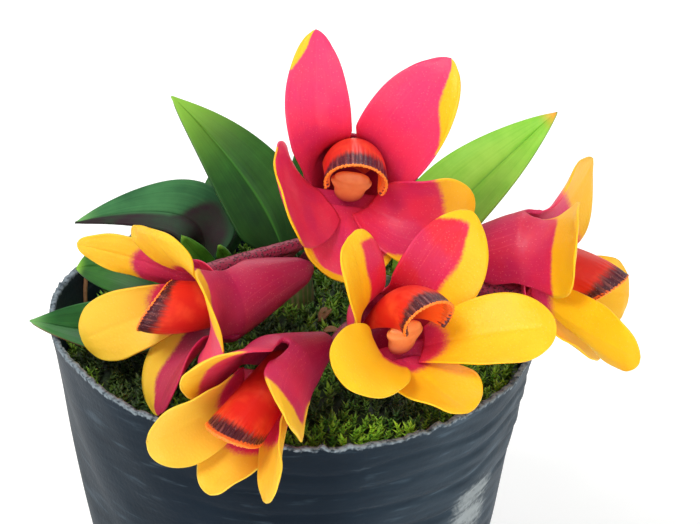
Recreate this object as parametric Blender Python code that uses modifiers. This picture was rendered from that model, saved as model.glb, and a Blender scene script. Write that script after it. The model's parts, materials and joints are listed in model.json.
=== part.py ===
"""A potted dendrobium orchid: a miniature orchid in flower, in moss, in a soft nursery pot.

Metres, +Z up, with the origin at the centre of the pot's underside and the front at -Y. The sizes below
are in millimetres, and MM turns them into metres where a mesh is made.
"""

from dataclasses import dataclass
from math import cos, pi, radians, sin

import bmesh
import bpy
import numpy as np

MM = 0.001
WELD = 1e-6
TURN_WELD = 1e-5
FLAT_CURL = 1e-4
BLADE_THICKNESS = 0.7
GAP = 0.35
CUT_CLEAR = 2.0
HOLE_SIDES = 16

POT_HEIGHT = 62.0
POT_RIM_RADIUS = 37.5
POT_BASE_RADIUS = 27.2
POT_WALL = 0.8
POT_FOOT_CHAMFER = 0.8
POT_STEPS = 48
RIM_SLANT = 1.6
RIM_WAVE = 1.5
RIM_WAVES = (3, 7)
DRAIN_RING = 17.0
DRAIN_RADIUS = 2.9
DRAIN_HOLES = 6

MEDIUM_TOP = 52.5
MOSS_EDGE = 55.8
MOSS_MOUND = 4.2
MOSS_BUMP = 0.9
MOSS_WAVELENGTH = 10.0
MOSS_WAVE_RATIOS = (0.93, 0.71, 0.62)
MOSS_WAVE_PHASES = (0.4, 1.1)
MOSS_SPOKES = 12
MOSS_CUTS = 9
MOSS_TOP = MOSS_EDGE + MOSS_MOUND + 2 * CUT_CLEAR

CANE_FOOT = 44.0
CANE_RADIUS = 3.0
CANE_HOLE = 3.5
CANE_RING = 2.1
CANE_SHOULDER = 6
FOOT_RISE = 0.15

LEAF_GRID = (12, 4)
LEAF_EVEN_ROWS = 0.6
LEAF_FOOT_HALF_WIDTH = 1.0
LEAF_SWELL_POWER = 1.2
LEAF_TIP_POWER = 0.9
LEAF_CREASE = 0.8

THROAT_RADIUS = 5.5
CHIN_ROWS = 5
LOBE_ROWS = 9
LOBE_COLUMNS = 5
PETAL_GRID = (8, 6)
LIP_GRID = (7, 8)
EVEN_ROWS = 0.5
HALF_LOBE = 50.0
CHIN_TIP_ARC = 162.0
CHIN_TIP_SHARE = 0.18
LOBE_BLEND = 0.25
FINE_STEPS = 96

COLUMN_SIZE = (5.0, 1.7, 0.9)
COLUMN_START = 0.6
COLUMN_DROP = 0.5
COLUMN_LEAN = 0.45
COLUMN_SQUARENESS = 3

STALK_STEPS = 8
STALK_RISE = 0.9
STALK_APPROACH = 0.6
STALK_RADII = (0.8, 0.9)
OVARY_STEPS = 5
OVARY_TOP = (0.1, 3.9)
OVARY_END = (1.0, 3.0)
OVARY_SWELL = 0.6
OVARY_SWELL_START = 0.3

COLOURS = {
    "soft_black_plastic": ("26303C", 0.45),
    "bark_and_sphagnum": ("3A2A1C", 0.95),
    "moss": ("3E6A16", 0.95),
    "cane_skin": ("55702E", 0.55),
    "leaf_green": ("1E5A24", 0.42),
    "young_leaf": ("7CBF3A", 0.42),
    "stalk_skin": ("7A2038", 0.5),
    "sepal_pink": ("E83A66", 0.5),
    "petal_yellow": ("FBC41E", 0.5),
    "lip_red": ("E03A20", 0.4),
    "column_peach": ("E99A62", 0.4),
}


@dataclass(frozen=True)
class Blade:
    """A sepal, petal or lip, in its flower's frame, with angles in degrees.

    Clock 0 is the lip's side of the throat.
    """

    clock: float
    turn: float
    opening: tuple
    length: float
    half_width: float
    curl: tuple
    twist: float = 0.0
    base_half_width: float = 1.3
    widest: float = 0.6
    tip_power: float = 0.5
    start: tuple = (1.9, 4.2)
    is_lobe: bool = False
    cut_back: float = 0.0
    bend: float = 1.0


@dataclass(frozen=True)
class Flower:
    """A flower's place and stance, and its blades.

    Its chin is (length, lift, shift across, extra depth of throat).
    """

    name: str
    throat: tuple
    azimuth: float
    elevation: float
    roll: float
    chin: tuple
    cane: str
    foot_angle: float
    lateral_left: Blade
    lateral_right: Blade
    petal_left: Blade
    petal_right: Blade
    dorsal: Blade
    lip: Blade


@dataclass(frozen=True)
class Cane:
    """A short swollen stem that stands in the medium."""

    name: str
    place: tuple
    top: float


@dataclass(frozen=True)
class Leaf:
    """A lance leaf from a cane's top to its tip, bowed off the straight line.

    Its upper side turns towards the direction in faces.
    """

    name: str
    cane: str
    foot_angle: float
    tip: tuple
    bow: tuple
    faces: tuple
    half_width: float
    fold: float = 0.35
    widest: float = 0.42
    paint: str = "leaf_green"


def lateral(side, turn, opening, length, half_width, curl, twist=0.0):
    """One of the two lateral sepals, side -1 on the left as the flower looks at the viewer."""
    return Blade(side * HALF_LOBE, turn, opening, length, half_width, curl, twist, base_half_width=4.8,
                 widest=0.45, tip_power=0.7, start=(0.0, THROAT_RADIUS), is_lobe=True)


def petal(side, turn, opening, length, half_width, curl=(0.12, 0.04), twist=0.0, root=122.0, tip_power=0.5):
    """One of the two petals, rooted at a clock angle of the throat."""
    return Blade(side * root, turn, opening, length, half_width, curl, twist, base_half_width=2.4,
                 tip_power=tip_power)


def dorsal(opening, length, half_width, curl=(0.12, 0.04), turn=0.0, twist=0.0):
    """The dorsal sepal, opposite the lip."""
    return Blade(180.0, turn, opening, length, half_width, curl, twist, base_half_width=2.7, widest=0.55,
                 tip_power=0.55, start=(0.6, 2.8))


def lip(opening, length, half_width, curl, root, cut_back, bend=2.0, reach=-4.0):
    """The lip, a hood rooted inside the throat and cut back along its sides."""
    return Blade(0.0, 0.0, opening, length, half_width, curl, base_half_width=3.1, widest=0.9,
                 start=(reach, root), cut_back=cut_back, bend=bend)


CANES = (
    Cane("cane_1", (0.0, 9.0), 67.0),
    Cane("cane_2", (14.0, 6.0), 66.5),
    Cane("cane_3", (-12.0, 11.0), 65.0),
    Cane("cane_4", (-14.0, -4.0), 63.0),
    Cane("cane_5", (11.0, -6.0), 63.0),
)

LEAVES = (
    Leaf("leaf_1", "cane_1", 150.0, (-19.6, 19.2, 90.2), (3.7, -1.3, -1.0), (0.29, -0.66, 0.66), 6.8,
         widest=0.34),
    Leaf("leaf_2", "cane_2", 30.0, (39.7, 13.8, 91.4), (-2.1, 0.5, -1.6), (-0.69, -0.68, 0.56), 7.1,
         widest=0.40, paint="young_leaf"),
    Leaf("leaf_3", "cane_3", 170.0, (-34.5, 14.0, 70.5), (6.2, -0.1, 5.1), (-0.15, -0.23, 0.89), 6.5,
         widest=0.37),
    Leaf("leaf_4", "cane_4", 190.0, (-38.9, -10.4, 66.3), (1.2, 0.1, -1.6), (0.04, -0.45, 0.9), 5.2),
    Leaf("leaf_5", "cane_4", 110.0, (-33.4, 3.7, 67.8), (0.0, 0.0, 3.3), (0.38, -0.52, 0.78), 5.8,
         widest=0.46),
    Leaf("leaf_6", "cane_1", 55.0, (1.4, 21.0, 87.0), (2.4, 2.6, 0.0), (0.0, -0.9, 0.3), 5.0),
    Leaf("leaf_7", "cane_2", -90.0, (37.9, -3.3, 68.2), (-4.6, -1.6, -1.4), (0.03, -0.14, 0.94), 4.1),
    Leaf("leaf_8", "cane_2", 120.0, (17.0, 34.5, 71.0), (-0.8, 0.6, 2.8), (0.0, 0.2, 0.95), 5.5),
    Leaf("leaf_9", "cane_3", 70.0, (-7.0, 35.0, 71.0), (0.0, 0.0, 4.0), (0.0, 0.2, 0.95), 5.5),
    Leaf("new_leaf_1", "cane_3", 265.0, (-17.2, 4.6, 73.5), (-0.5, 0.0, 0.0), (0.2, -0.9, 0.3), 1.6,
         paint="young_leaf"),
    Leaf("new_leaf_2", "cane_3", 330.0, (-11.5, 4.5, 72.0), (0.3, 0.0, 0.0), (-0.2, -0.9, 0.3), 1.4,
         paint="young_leaf"),
)

FLOWERS = (
    Flower("flower_a", (8.0, -3.8, 85.9), 10.0, 44.0, 11.0, (14.0, 1.5, 0.0, 0.7), "cane_1", -60.0,
           lateral(-1, 43.5, (11.5, 73.6), 23.7, 5.1, (0.16, 0.07), -1.2),
           lateral(1, -26.4, (10.0, 69.9), 23.6, 7.2, (0.16, 0.09), 19.0),
           petal(-1, 55.0, (46.4, 20.0), 17.6, 8.2, (-0.03, 0.03), -30.0, 134.5, 0.8),
           petal(1, -63.4, (59.1, 104.2), 16.7, 8.1, (0.26, -0.01), -63.3, 132.1),
           dorsal((72.8, 90.9), 12.2, 7.3, (0.02, 0.10), -0.4, 15.0),
           lip((16.9, -62.6), 22.1, 8.2, (0.25, 0.24), 5.4, 0.08, 1.15)),
    Flower("flower_b", (14.9, -25.4, 72.1), 37.0, 51.0, 5.0, (9.0, 1.5, 0.0, 0.7), "cane_5", 90.0,
           lateral(-1, 18.2, (14.2, 47.4), 18.9, 5.2, (0.16, 0.05), -2.3),
           lateral(1, -8.1, (16.2, 66.2), 18.8, 6.5, (0.15, 0.04), -0.2),
           petal(-1, 21.6, (32.9, 78.1), 18.9, 5.9, (0.20, 0.01), 1.1),
           petal(1, -10.5, (29.5, 66.7), 19.9, 5.8, (0.19, 0.02), -1.7),
           dorsal((55.7, 60.7), 14.6, 7.0, (-0.01, 0.09), -11.6, 14.2),
           lip((7.5, -69.9), 19.9, 7.7, (0.37, 0.27), 5.1, 0.05, 1.9, -2.7)),
    Flower("flower_c", (34.9, -4.6, 73.8), 74.0, 4.0, 9.0, (12.5, 1.6, 0.3, 0.7), "cane_2", -20.0,
           lateral(-1, -11.9, (26.6, 76.0), 18.1, 7.4, (0.14, 0.01), -3.8),
           lateral(1, -6.0, (54.0, 77.8), 16.5, 7.7, (0.12, 0.02), 5.3),
           petal(-1, 21.4, (36.2, 34.5), 23.0, 4.9, (0.25, 0.00), 0.3),
           petal(1, -8.7, (25.9, 67.3), 16.6, 5.3, (0.28, 0.01), 1.2),
           dorsal((49.5, 36.8), 15.1, 6.1, (-0.04, 0.13), -2.8, 0.9),
           lip((-3.0, -38.5), 20.3, 8.3, (0.30, 0.30), 4.9, 0.17, 2.1)),
    Flower("flower_d", (-11.4, -14.3, 73.3), -51.0, 1.0, 119.0, (16.9, 1.2, -1.6, 0.4), "cane_1", 230.0,
           lateral(-1, 24.2, (23.2, 76.2), 19.2, 7.2, (0.15, 0.03), 0.1),
           lateral(1, -23.5, (13.4, 54.9), 16.4, 7.3, (0.16, 0.04), -2.3),
           petal(-1, 11.0, (30.7, 63.3), 14.5, 5.9, (0.18, -0.08), -20.9),
           petal(1, -8.4, (25.2, 68.2), 17.7, 5.2, (0.20, 0.04), 4.7),
           dorsal((52.1, 38.8), 18.9, 3.8, (-0.08, 0.05), -10.2, 1.8),
           lip((0.9, -42.8), 18.1, 9.0, (0.30, 0.27), 4.0, 0.32, 2.3)),
    Flower("flower_e", (-1.6, -31.4, 69.7), -21.0, -1.0, 16.0, (12.2, 1.0, 3.0, 0.25), "cane_5", 200.0,
           lateral(-1, -21.3, (9.8, 22.1), 17.2, 6.7, (0.15, 0.06), -2.2),
           lateral(1, -9.0, (9.4, 22.7), 18.6, 5.9, (0.17, 0.06), 0.4),
           petal(-1, 26.0, (10.2, 24.0), 20.3, 6.1, (0.20, 0.10), -8.9),
           petal(1, -50.4, (15.6, 21.3), 20.6, 4.4, (0.28, 0.03), 24.7),
           dorsal((41.0, 12.3), 18.0, 4.9, (-0.25, 0.29), -2.2, -14.7),
           lip((-0.9, -8.7), 22.8, 6.4, (0.36, 0.25), 1.8, 0.32, 2.1)),
)


def linear(hex_colour):
    """An sRGB hex colour as linear RGBA."""
    parts = [int(hex_colour[i:i + 2], 16) / 255 for i in (0, 2, 4)]
    return [c / 12.92 if c <= 0.04045 else ((c + 0.055) / 1.055) ** 2.4 for c in parts] + [1.0]


def paint(name):
    """The named material, made once."""
    if name in bpy.data.materials:
        return bpy.data.materials[name]
    colour, roughness = COLOURS[name]
    made = bpy.data.materials.new(name)
    made.use_nodes = True
    shader = made.node_tree.nodes["Principled BSDF"]
    shader.inputs["Base Color"].default_value = linear(colour)
    shader.inputs["Roughness"].default_value = roughness
    shader.inputs["Metallic"].default_value = 0.0
    made.diffuse_color = linear(colour)
    return made


def add_object(name, mesh, finish, collection):
    """A mesh or bmesh as an object in a collection."""
    if isinstance(mesh, bmesh.types.BMesh):
        data = bpy.data.meshes.new(name)
        mesh.to_mesh(data)
        mesh.free()
    else:
        data = mesh
        data.name = name
    made = bpy.data.objects.new(name, data)
    if finish:
        data.materials.clear()
        data.materials.append(paint(finish))
    data.shade_smooth()
    collection.objects.link(made)
    return made


def evaluated_mesh(made):
    """The object's mesh with its modifiers applied; the object is removed."""
    bpy.context.view_layer.update()
    graph = bpy.context.evaluated_depsgraph_get()
    mesh = bpy.data.meshes.new_from_object(made.evaluated_get(graph))
    bpy.data.objects.remove(made)
    return mesh


def add_grid(mesh, rows, columns, place):
    """A grid placed by a formula, with s from 0 to 1 along it and t from -1 to 1 across it."""
    verts = bmesh.ops.create_grid(mesh, x_segments=columns, y_segments=rows, size=1.0)["verts"]
    along = np.array([vert.co.y for vert in verts]) / 2 + 0.5
    across = np.array([vert.co.x for vert in verts])
    for vert, spot in zip(verts, place(along, across) * MM):
        vert.co = spot


def finish_sheet(name, mesh, finish, collection):
    """A closed blade from an open sheet: welded, split into triangles, then thickened."""
    bmesh.ops.remove_doubles(mesh, verts=mesh.verts, dist=WELD)
    bmesh.ops.triangulate(mesh, faces=mesh.faces)
    made = add_object(name, mesh, finish, collection)
    wall = made.modifiers.new("thickness", "SOLIDIFY")
    wall.thickness = BLADE_THICKNESS * MM
    wall.offset = 0.0
    return made


def unit(vector):
    """The vector at length 1."""
    vector = np.asarray(vector, float)
    return vector / np.linalg.norm(vector)


def flower_frame(flower):
    """The flower's facing, its lip's side, and the direction across."""
    azimuth, elevation, roll = (radians(a) for a in (flower.azimuth, flower.elevation, flower.roll))
    face = np.array([cos(elevation) * sin(azimuth), -cos(elevation) * cos(azimuth), sin(elevation)])
    up = unit(np.array([0.0, 0.0, 1.0]) - face[2] * face)
    side = np.cross(up, face)
    lip_side = cos(roll) * up + sin(roll) * side
    return face, lip_side, np.cross(lip_side, face)


def radial(frame, clock):
    """Unit directions out from the flower's axis at these clock angles, in radians."""
    return np.cos(clock)[:, None] * frame[1] + np.sin(clock)[:, None] * frame[2]


def throat_radius(flower, clock):
    """How far the throat's edge is from the axis at these clock angles: it is deeper on the lip's side."""
    return THROAT_RADIUS * (1 + flower.chin[3] * np.clip(np.cos(clock), 0, 1) ** 2)


def half_width_at(blade, s):
    """Half the blade's width, measured round its curl, at shares s of its length."""
    swell = np.sin(pi / 2 * np.clip(s / blade.widest, 0, 1))
    rise = blade.base_half_width + (blade.half_width - blade.base_half_width) * swell
    if blade.cut_back:
        return rise
    x = np.clip((s - blade.widest) / (1 - blade.widest), 0, 1)
    return np.where(s < blade.widest, rise, blade.half_width * (1 - x**2) ** blade.tip_power)


def blade_angles(blade, s):
    """Opening and clock angles at shares s of the blade's length, in radians."""
    opening = blade.opening[0] + (blade.opening[1] - blade.opening[0]) * s**blade.bend
    clock = blade.clock + blade.turn * s * (2 - s)
    return np.radians(opening), np.radians(clock)


def blade_points(flower, blade, j, t):
    """Points of the blade's middle surface, j from 0 to 1 along its rows and t from -1 to 1 across."""
    frame = flower_frame(flower)
    throat = np.array(flower.throat)
    fine = np.linspace(0, 1, FINE_STEPS + 1)
    opening, clock = blade_angles(blade, (fine[1:] + fine[:-1]) / 2)
    steps = np.cos(opening)[:, None] * frame[0] + np.sin(opening)[:, None] * radial(frame, clock)
    root = radial(frame, np.array([radians(blade.clock)]))[0]
    first = throat + frame[0] * blade.start[0] + root * blade.start[1]
    middle = first + np.vstack([np.zeros(3), np.cumsum(steps, axis=0)]) * blade.length / FINE_STEPS

    s = (EVEN_ROWS * j + (1 - EVEN_ROWS) * np.sin(pi / 2 * j)) * (1 - blade.cut_back * t**2)
    spot = np.stack([np.interp(s, fine, middle[:, axis]) for axis in range(3)], axis=1)
    opening, clock = blade_angles(blade, s)
    side = -np.sin(clock)[:, None] * frame[1] + np.cos(clock)[:, None] * frame[2]
    inward = np.sin(opening)[:, None] * frame[0] - np.cos(opening)[:, None] * radial(frame, clock)
    twist = np.radians(blade.twist * s)[:, None]
    turned = np.cos(twist) * side + np.sin(twist) * inward
    inward = np.cos(twist) * inward - np.sin(twist) * side
    curl = blade.curl[0] + (blade.curl[1] - blade.curl[0]) * s
    curl = np.where(np.abs(curl) < FLAT_CURL, FLAT_CURL, curl)
    reach = curl * t * half_width_at(blade, s)
    spot = spot + turned * (np.sin(reach) / curl)[:, None] + inward * ((1 - np.cos(reach)) / curl)[:, None]
    if not blade.is_lobe:
        return spot
    ring_clock = np.radians(blade.clock + t * HALF_LOBE)
    ring = throat + radial(frame, ring_clock) * throat_radius(flower, ring_clock)[:, None]
    share = np.clip(s / LOBE_BLEND, 0, 1)
    share = (share**2 * (3 - 2 * share))[:, None]
    return ring * (1 - share) + spot * share


def chin_points(flower, side, u, t):
    """Points of one side of the chin, u from 0 at its closed tip to 1 at the throat."""
    frame = flower_frame(flower)
    length, lift, shift, _ = flower.chin
    back = (1 - u)[:, None]
    centre = np.array(flower.throat) + (frame[1] * lift + frame[2] * shift - frame[0] * length) * back
    arc = CHIN_TIP_ARC + (2 * HALF_LOBE - CHIN_TIP_ARC) * u
    clock = np.radians(side * arc * (1 + side * t) / 2)
    radius = throat_radius(flower, clock) * (CHIN_TIP_SHARE + (1 - CHIN_TIP_SHARE) * u)
    radius = np.where(u < WELD, 0, radius)
    return centre + radial(frame, clock) * radius[:, None]


def add_lateral_sepals(flower, collection):
    """Both lateral sepals and the hollow chin that they form together behind the throat."""
    mesh = bmesh.new()
    share = CHIN_ROWS / (CHIN_ROWS + LOBE_ROWS)
    for side, blade in ((-1, flower.lateral_left), (1, flower.lateral_right)):
        def place(along, across):
            chin = chin_points(flower, side, np.clip(along / share, 0, 1), across)
            lobe = blade_points(flower, blade, np.clip((along - share) / (1 - share), 0, 1), across)
            return np.where((along < share + WELD)[:, None], chin, lobe)
        add_grid(mesh, CHIN_ROWS + LOBE_ROWS, LOBE_COLUMNS, place)
    finish_sheet(f"{flower.name}_lateral_sepals", mesh, "sepal_pink", collection)


def add_blade(flower, part, blade, finish, grid, collection):
    """One free blade of the flower, on a grid of (rows, columns)."""
    mesh = bmesh.new()
    add_grid(mesh, *grid, lambda along, across: blade_points(flower, blade, along, across))
    finish_sheet(f"{flower.name}_{part}", mesh, finish, collection)


def add_column(flower, collection):
    """The column, a stub under the lip's hood, flat above and round below."""
    length, half_width, half_depth = COLUMN_SIZE
    face, lip_side, across = flower_frame(flower)
    middle = np.array(flower.throat) + face * (COLUMN_START + length / 2) - lip_side * COLUMN_DROP
    lean = unit(face + lip_side * COLUMN_LEAN)
    mesh = bmesh.new()
    bmesh.ops.create_uvsphere(mesh, u_segments=10, v_segments=6, radius=1.0)
    for vert in mesh.verts:
        x, y, z = vert.co
        swell = (1 - abs(z) ** COLUMN_SQUARENESS) ** 0.5 / max((1 - z * z) ** 0.5, WELD)
        spot = across * x * swell * half_width + lip_side * y * swell * half_depth + lean * z * length / 2
        vert.co = (middle + spot) * MM
    bmesh.ops.recalc_face_normals(mesh, faces=mesh.faces)
    add_object(f"{flower.name}_column", mesh, "column_peach", collection)


def cane_called(name):
    """The cane of that name."""
    return next(cane for cane in CANES if cane.name == name)


def foot_point(cane_name, angle):
    """Where a leaf or a flower stalk starts, just above the cane's top."""
    cane = cane_called(cane_name)
    angle = radians(angle)
    return np.array([cane.place[0] + CANE_RING * cos(angle), cane.place[1] + CANE_RING * sin(angle),
                     cane.top + FOOT_RISE])


def curve_through(start, start_way, end, end_way, steps):
    """Points of one smooth curve that leaves start and reaches end with these directions."""
    u = np.linspace(0, 1, steps + 1)[:, None]
    return ((2 * u**3 - 3 * u**2 + 1) * start + (u**3 - 2 * u**2 + u) * start_way
            + (3 * u**2 - 2 * u**3) * end + (u**3 - u**2) * end_way)


def add_pedicel(flower, collection):
    """The flower's stalk, rising from its cane and swelling into the ovary along the chin's open side."""
    face, lip_side, across = flower_frame(flower)
    throat = np.array(flower.throat)
    length, _, shift, _ = flower.chin
    ovary_top = throat + face * OVARY_TOP[0] - lip_side * OVARY_TOP[1]
    ovary_end = throat - face * (length + OVARY_END[0]) - lip_side * OVARY_END[1] + across * shift
    foot = foot_point(flower.cane, flower.foot_angle)
    span = np.linalg.norm(ovary_end - foot)
    rise = np.array([0.0, 0.0, STALK_RISE * span])
    stalk = curve_through(foot, rise, ovary_end, face * span * STALK_APPROACH, STALK_STEPS)
    ovary = ovary_end + (ovary_top - ovary_end) * np.linspace(0, 1, OVARY_STEPS + 1)[1:, None]
    swell = OVARY_SWELL * np.sin(np.linspace(OVARY_SWELL_START, 1, OVARY_STEPS) * pi / 2)
    radii = np.concatenate([np.linspace(*STALK_RADII, len(stalk)), STALK_RADII[1] + swell])
    points = np.vstack([stalk, ovary])

    data = bpy.data.curves.new(f"{flower.name}_pedicel", "CURVE")
    data.dimensions = "3D"
    data.bevel_depth = MM
    data.bevel_resolution = 2
    data.use_fill_caps = True
    spline = data.splines.new("POLY")
    spline.points.add(len(points) - 1)
    for point, spot, radius in zip(spline.points, points, radii):
        point.co = (*(spot * MM), 1.0)
        point.radius = radius
    made = bpy.data.objects.new(data.name, data)
    data.materials.append(paint("stalk_skin"))
    collection.objects.link(made)


def add_flower(flower, collection):
    """The seven pieces of one flower."""
    add_pedicel(flower, collection)
    add_lateral_sepals(flower, collection)
    add_blade(flower, "petal_left", flower.petal_left, "petal_yellow", PETAL_GRID, collection)
    add_blade(flower, "petal_right", flower.petal_right, "petal_yellow", PETAL_GRID, collection)
    add_blade(flower, "dorsal_sepal", flower.dorsal, "petal_yellow", PETAL_GRID, collection)
    add_blade(flower, "lip", flower.lip, "lip_red", LIP_GRID, collection)
    add_column(flower, collection)


def add_leaf(leaf, collection):
    """One lance leaf, folded along its midrib."""
    foot = foot_point(leaf.cane, leaf.foot_angle)
    tip = np.array(leaf.tip)
    middle = (foot + tip) / 2 + np.array(leaf.bow) * 2
    faces = np.array(leaf.faces)

    def place(j, t):
        s = LEAF_EVEN_ROWS * j + (1 - LEAF_EVEN_ROWS) * np.sin(pi / 2 * j)
        u = s[:, None]
        spine = (1 - u) ** 2 * foot + 2 * u * (1 - u) * middle + u**2 * tip
        way = 2 * (1 - u) * (middle - foot) + 2 * u * (tip - middle)
        way = way / np.linalg.norm(way, axis=1)[:, None]
        upper = faces - way * (way @ faces)[:, None]
        upper = upper / np.linalg.norm(upper, axis=1)[:, None]
        side = np.cross(way, upper)
        swell = np.sin(pi / 2 * np.clip(s / leaf.widest, 0, 1)) ** LEAF_SWELL_POWER
        x = np.clip((s - leaf.widest) / (1 - leaf.widest), 0, 1)
        rising = LEAF_FOOT_HALF_WIDTH + (leaf.half_width - LEAF_FOOT_HALF_WIDTH) * swell
        width = np.where(s < leaf.widest, rising, leaf.half_width * (1 - x**2) ** LEAF_TIP_POWER)
        q = t * width
        rise = (np.sqrt(q**2 + LEAF_CREASE**2) - LEAF_CREASE) * leaf.fold
        return spine + side * q[:, None] + upper * rise[:, None]

    mesh = bmesh.new()
    add_grid(mesh, *LEAF_GRID, place)
    finish_sheet(leaf.name, mesh, leaf.paint, collection)


def add_cane(cane, collection):
    """One cane: a spindle, rounded at both ends."""
    half = (cane.top - CANE_FOOT) / 2
    mesh = bmesh.new()
    bmesh.ops.create_uvsphere(mesh, u_segments=12, v_segments=8, radius=1.0)
    for vert in mesh.verts:
        x, y, z = vert.co
        radius = (1 - z**CANE_SHOULDER) ** 0.5 / max((1 - z * z) ** 0.5, WELD) * CANE_RADIUS
        spot = (cane.place[0] + x * radius, cane.place[1] + y * radius, CANE_FOOT + half * (1 + z))
        vert.co = np.array(spot) * MM
    add_object(cane.name, mesh, "cane_skin", collection)


def wall_radius(z):
    """The pot's inner radius at height z."""
    taper = (POT_RIM_RADIUS - POT_BASE_RADIUS) / POT_HEIGHT
    return POT_BASE_RADIUS + taper * z - POT_WALL


def rim_offset(angle):
    """How far the cut rim stands above or below its mean height: higher on the left, and a little wavy."""
    waves = sum(sin(n * angle + n) / n for n in RIM_WAVES)
    return -RIM_SLANT * cos(angle) + RIM_WAVE * waves


def cylinders(places, radius, low, high):
    """Upright cylinders in one mesh."""
    mesh = bmesh.new()
    for x, y in places:
        made = bmesh.ops.create_cone(mesh, cap_ends=True, segments=HOLE_SIDES, radius1=radius * MM,
                                     radius2=radius * MM, depth=(high - low) * MM)
        bmesh.ops.translate(mesh, verts=made["verts"], vec=(x * MM, y * MM, (low + high) / 2 * MM))
    return mesh


def cut(made, name, mesh, cutters):
    """Cuts a helper mesh from an object."""
    cutter = add_object(name, mesh, None, cutters)
    cutter.hide_render = True
    cutter.display_type = "WIRE"
    boolean = made.modifiers.new(name, "BOOLEAN")
    boolean.object = cutter
    boolean.operation = "DIFFERENCE"


def add_pot(collection, cutters):
    """The pot: a turned shell with a slanting, slightly wavy rim and a ring of drain holes."""
    base_inside = wall_radius(0)
    profile = [
        (0.0, POT_WALL),
        (base_inside, POT_WALL),
        (wall_radius(POT_HEIGHT * 0.5), POT_HEIGHT * 0.5),
        (wall_radius(POT_HEIGHT), POT_HEIGHT),
        (POT_RIM_RADIUS, POT_HEIGHT),
        (wall_radius(POT_HEIGHT * 0.5) + POT_WALL, POT_HEIGHT * 0.5),
        (POT_BASE_RADIUS, POT_FOOT_CHAMFER),
        (POT_BASE_RADIUS - POT_FOOT_CHAMFER, 0.0),
        (0.0, 0.0),
    ]
    mesh = bmesh.new()
    verts = [mesh.verts.new((x * MM, 0, z * MM)) for x, z in profile]
    for first, second in zip(verts, verts[1:]):
        mesh.edges.new((first, second))
    turned = add_object("pot_profile", mesh, None, collection)
    screw = turned.modifiers.new("turn", "SCREW")
    screw.steps = POT_STEPS
    screw.render_steps = POT_STEPS
    screw.use_merge_vertices = True
    screw.merge_threshold = TURN_WELD
    shell = evaluated_mesh(turned)
    for vert in shell.vertices:
        share = vert.co.z / (POT_HEIGHT * MM)
        vert.co.z += share**3 * rim_offset(np.arctan2(vert.co.y, vert.co.x)) * MM
    pot = add_object("pot", shell, "soft_black_plastic", collection)
    ring = [2 * pi * (n + 0.5) / DRAIN_HOLES for n in range(DRAIN_HOLES)]
    places = [(DRAIN_RING * cos(a), DRAIN_RING * sin(a)) for a in ring]
    cut(pot, "drain_holes", cylinders(places, DRAIN_RADIUS, -CUT_CLEAR, POT_WALL + CUT_CLEAR), cutters)


def cane_holes(low, high):
    """Plain holes that the canes stand in."""
    return cylinders([cane.place for cane in CANES], CANE_HOLE, low, high)


def add_growing_medium(collection, cutters):
    """The plug of bark and sphagnum that fills the pot, under the moss."""
    low = POT_WALL + GAP
    mesh = bmesh.new()
    bottom, top = (wall_radius(z) - GAP for z in (low, MEDIUM_TOP))
    made = bmesh.ops.create_cone(mesh, cap_ends=True, segments=POT_STEPS, radius1=bottom * MM,
                                 radius2=top * MM, depth=(MEDIUM_TOP - low) * MM)
    bmesh.ops.translate(mesh, verts=made["verts"], vec=(0, 0, (MEDIUM_TOP + low) / 2 * MM))
    plug = add_object("growing_medium", mesh, "bark_and_sphagnum", collection)
    cut(plug, "cane_holes_in_medium", cane_holes(CANE_FOOT - GAP, MEDIUM_TOP + CUT_CLEAR), cutters)


def moss_height(x, y):
    """The moss's upper surface: a low mound with cushions on it."""
    share = (x * x + y * y) / wall_radius(MOSS_EDGE) ** 2
    k = 2 * pi / MOSS_WAVELENGTH
    down, rising, falling = (k * ratio for ratio in MOSS_WAVE_RATIOS)
    first, second = MOSS_WAVE_PHASES
    cushions = sin(k * x + first) * cos(down * y) + sin(rising * (x + y)) * cos(falling * (x - y) + second)
    return MOSS_EDGE + MOSS_MOUND * (1 - share) + MOSS_BUMP * cushions / 2


def add_moss(collection, cutters):
    """The carpet of moss, a disc with a raised relief, closed below and at its edge."""
    radius = wall_radius(MEDIUM_TOP) - GAP
    mesh = bmesh.new()
    bmesh.ops.create_circle(mesh, cap_ends=True, cap_tris=True, segments=MOSS_SPOKES, radius=1.0)
    bmesh.ops.subdivide_edges(mesh, edges=mesh.edges[:], cuts=MOSS_CUTS, use_grid_fill=True)
    half_slice = pi / MOSS_SPOKES
    for vert in mesh.verts:
        angle = np.arctan2(vert.co.y, vert.co.x)
        corner = (angle % (2 * half_slice)) - half_slice
        stretch = cos(corner) / cos(half_slice)
        x, y = vert.co.x * stretch * radius, vert.co.y * stretch * radius
        vert.co = (x * MM, y * MM, moss_height(x, y) * MM)
    rim = [edge for edge in mesh.edges if edge.is_boundary]
    skirt = bmesh.ops.extrude_edge_only(mesh, edges=rim)["geom"]
    low_edges = [item for item in skirt if isinstance(item, bmesh.types.BMEdge)]
    for vert in (item for item in skirt if isinstance(item, bmesh.types.BMVert)):
        vert.co.z = (MEDIUM_TOP + GAP) * MM
    bmesh.ops.contextual_create(mesh, geom=low_edges)
    bmesh.ops.recalc_face_normals(mesh, faces=mesh.faces)
    carpet = add_object("moss_carpet", mesh, "moss", collection)
    cut(carpet, "cane_holes_in_moss", cane_holes(MEDIUM_TOP - CUT_CLEAR, MOSS_TOP), cutters)


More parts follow.
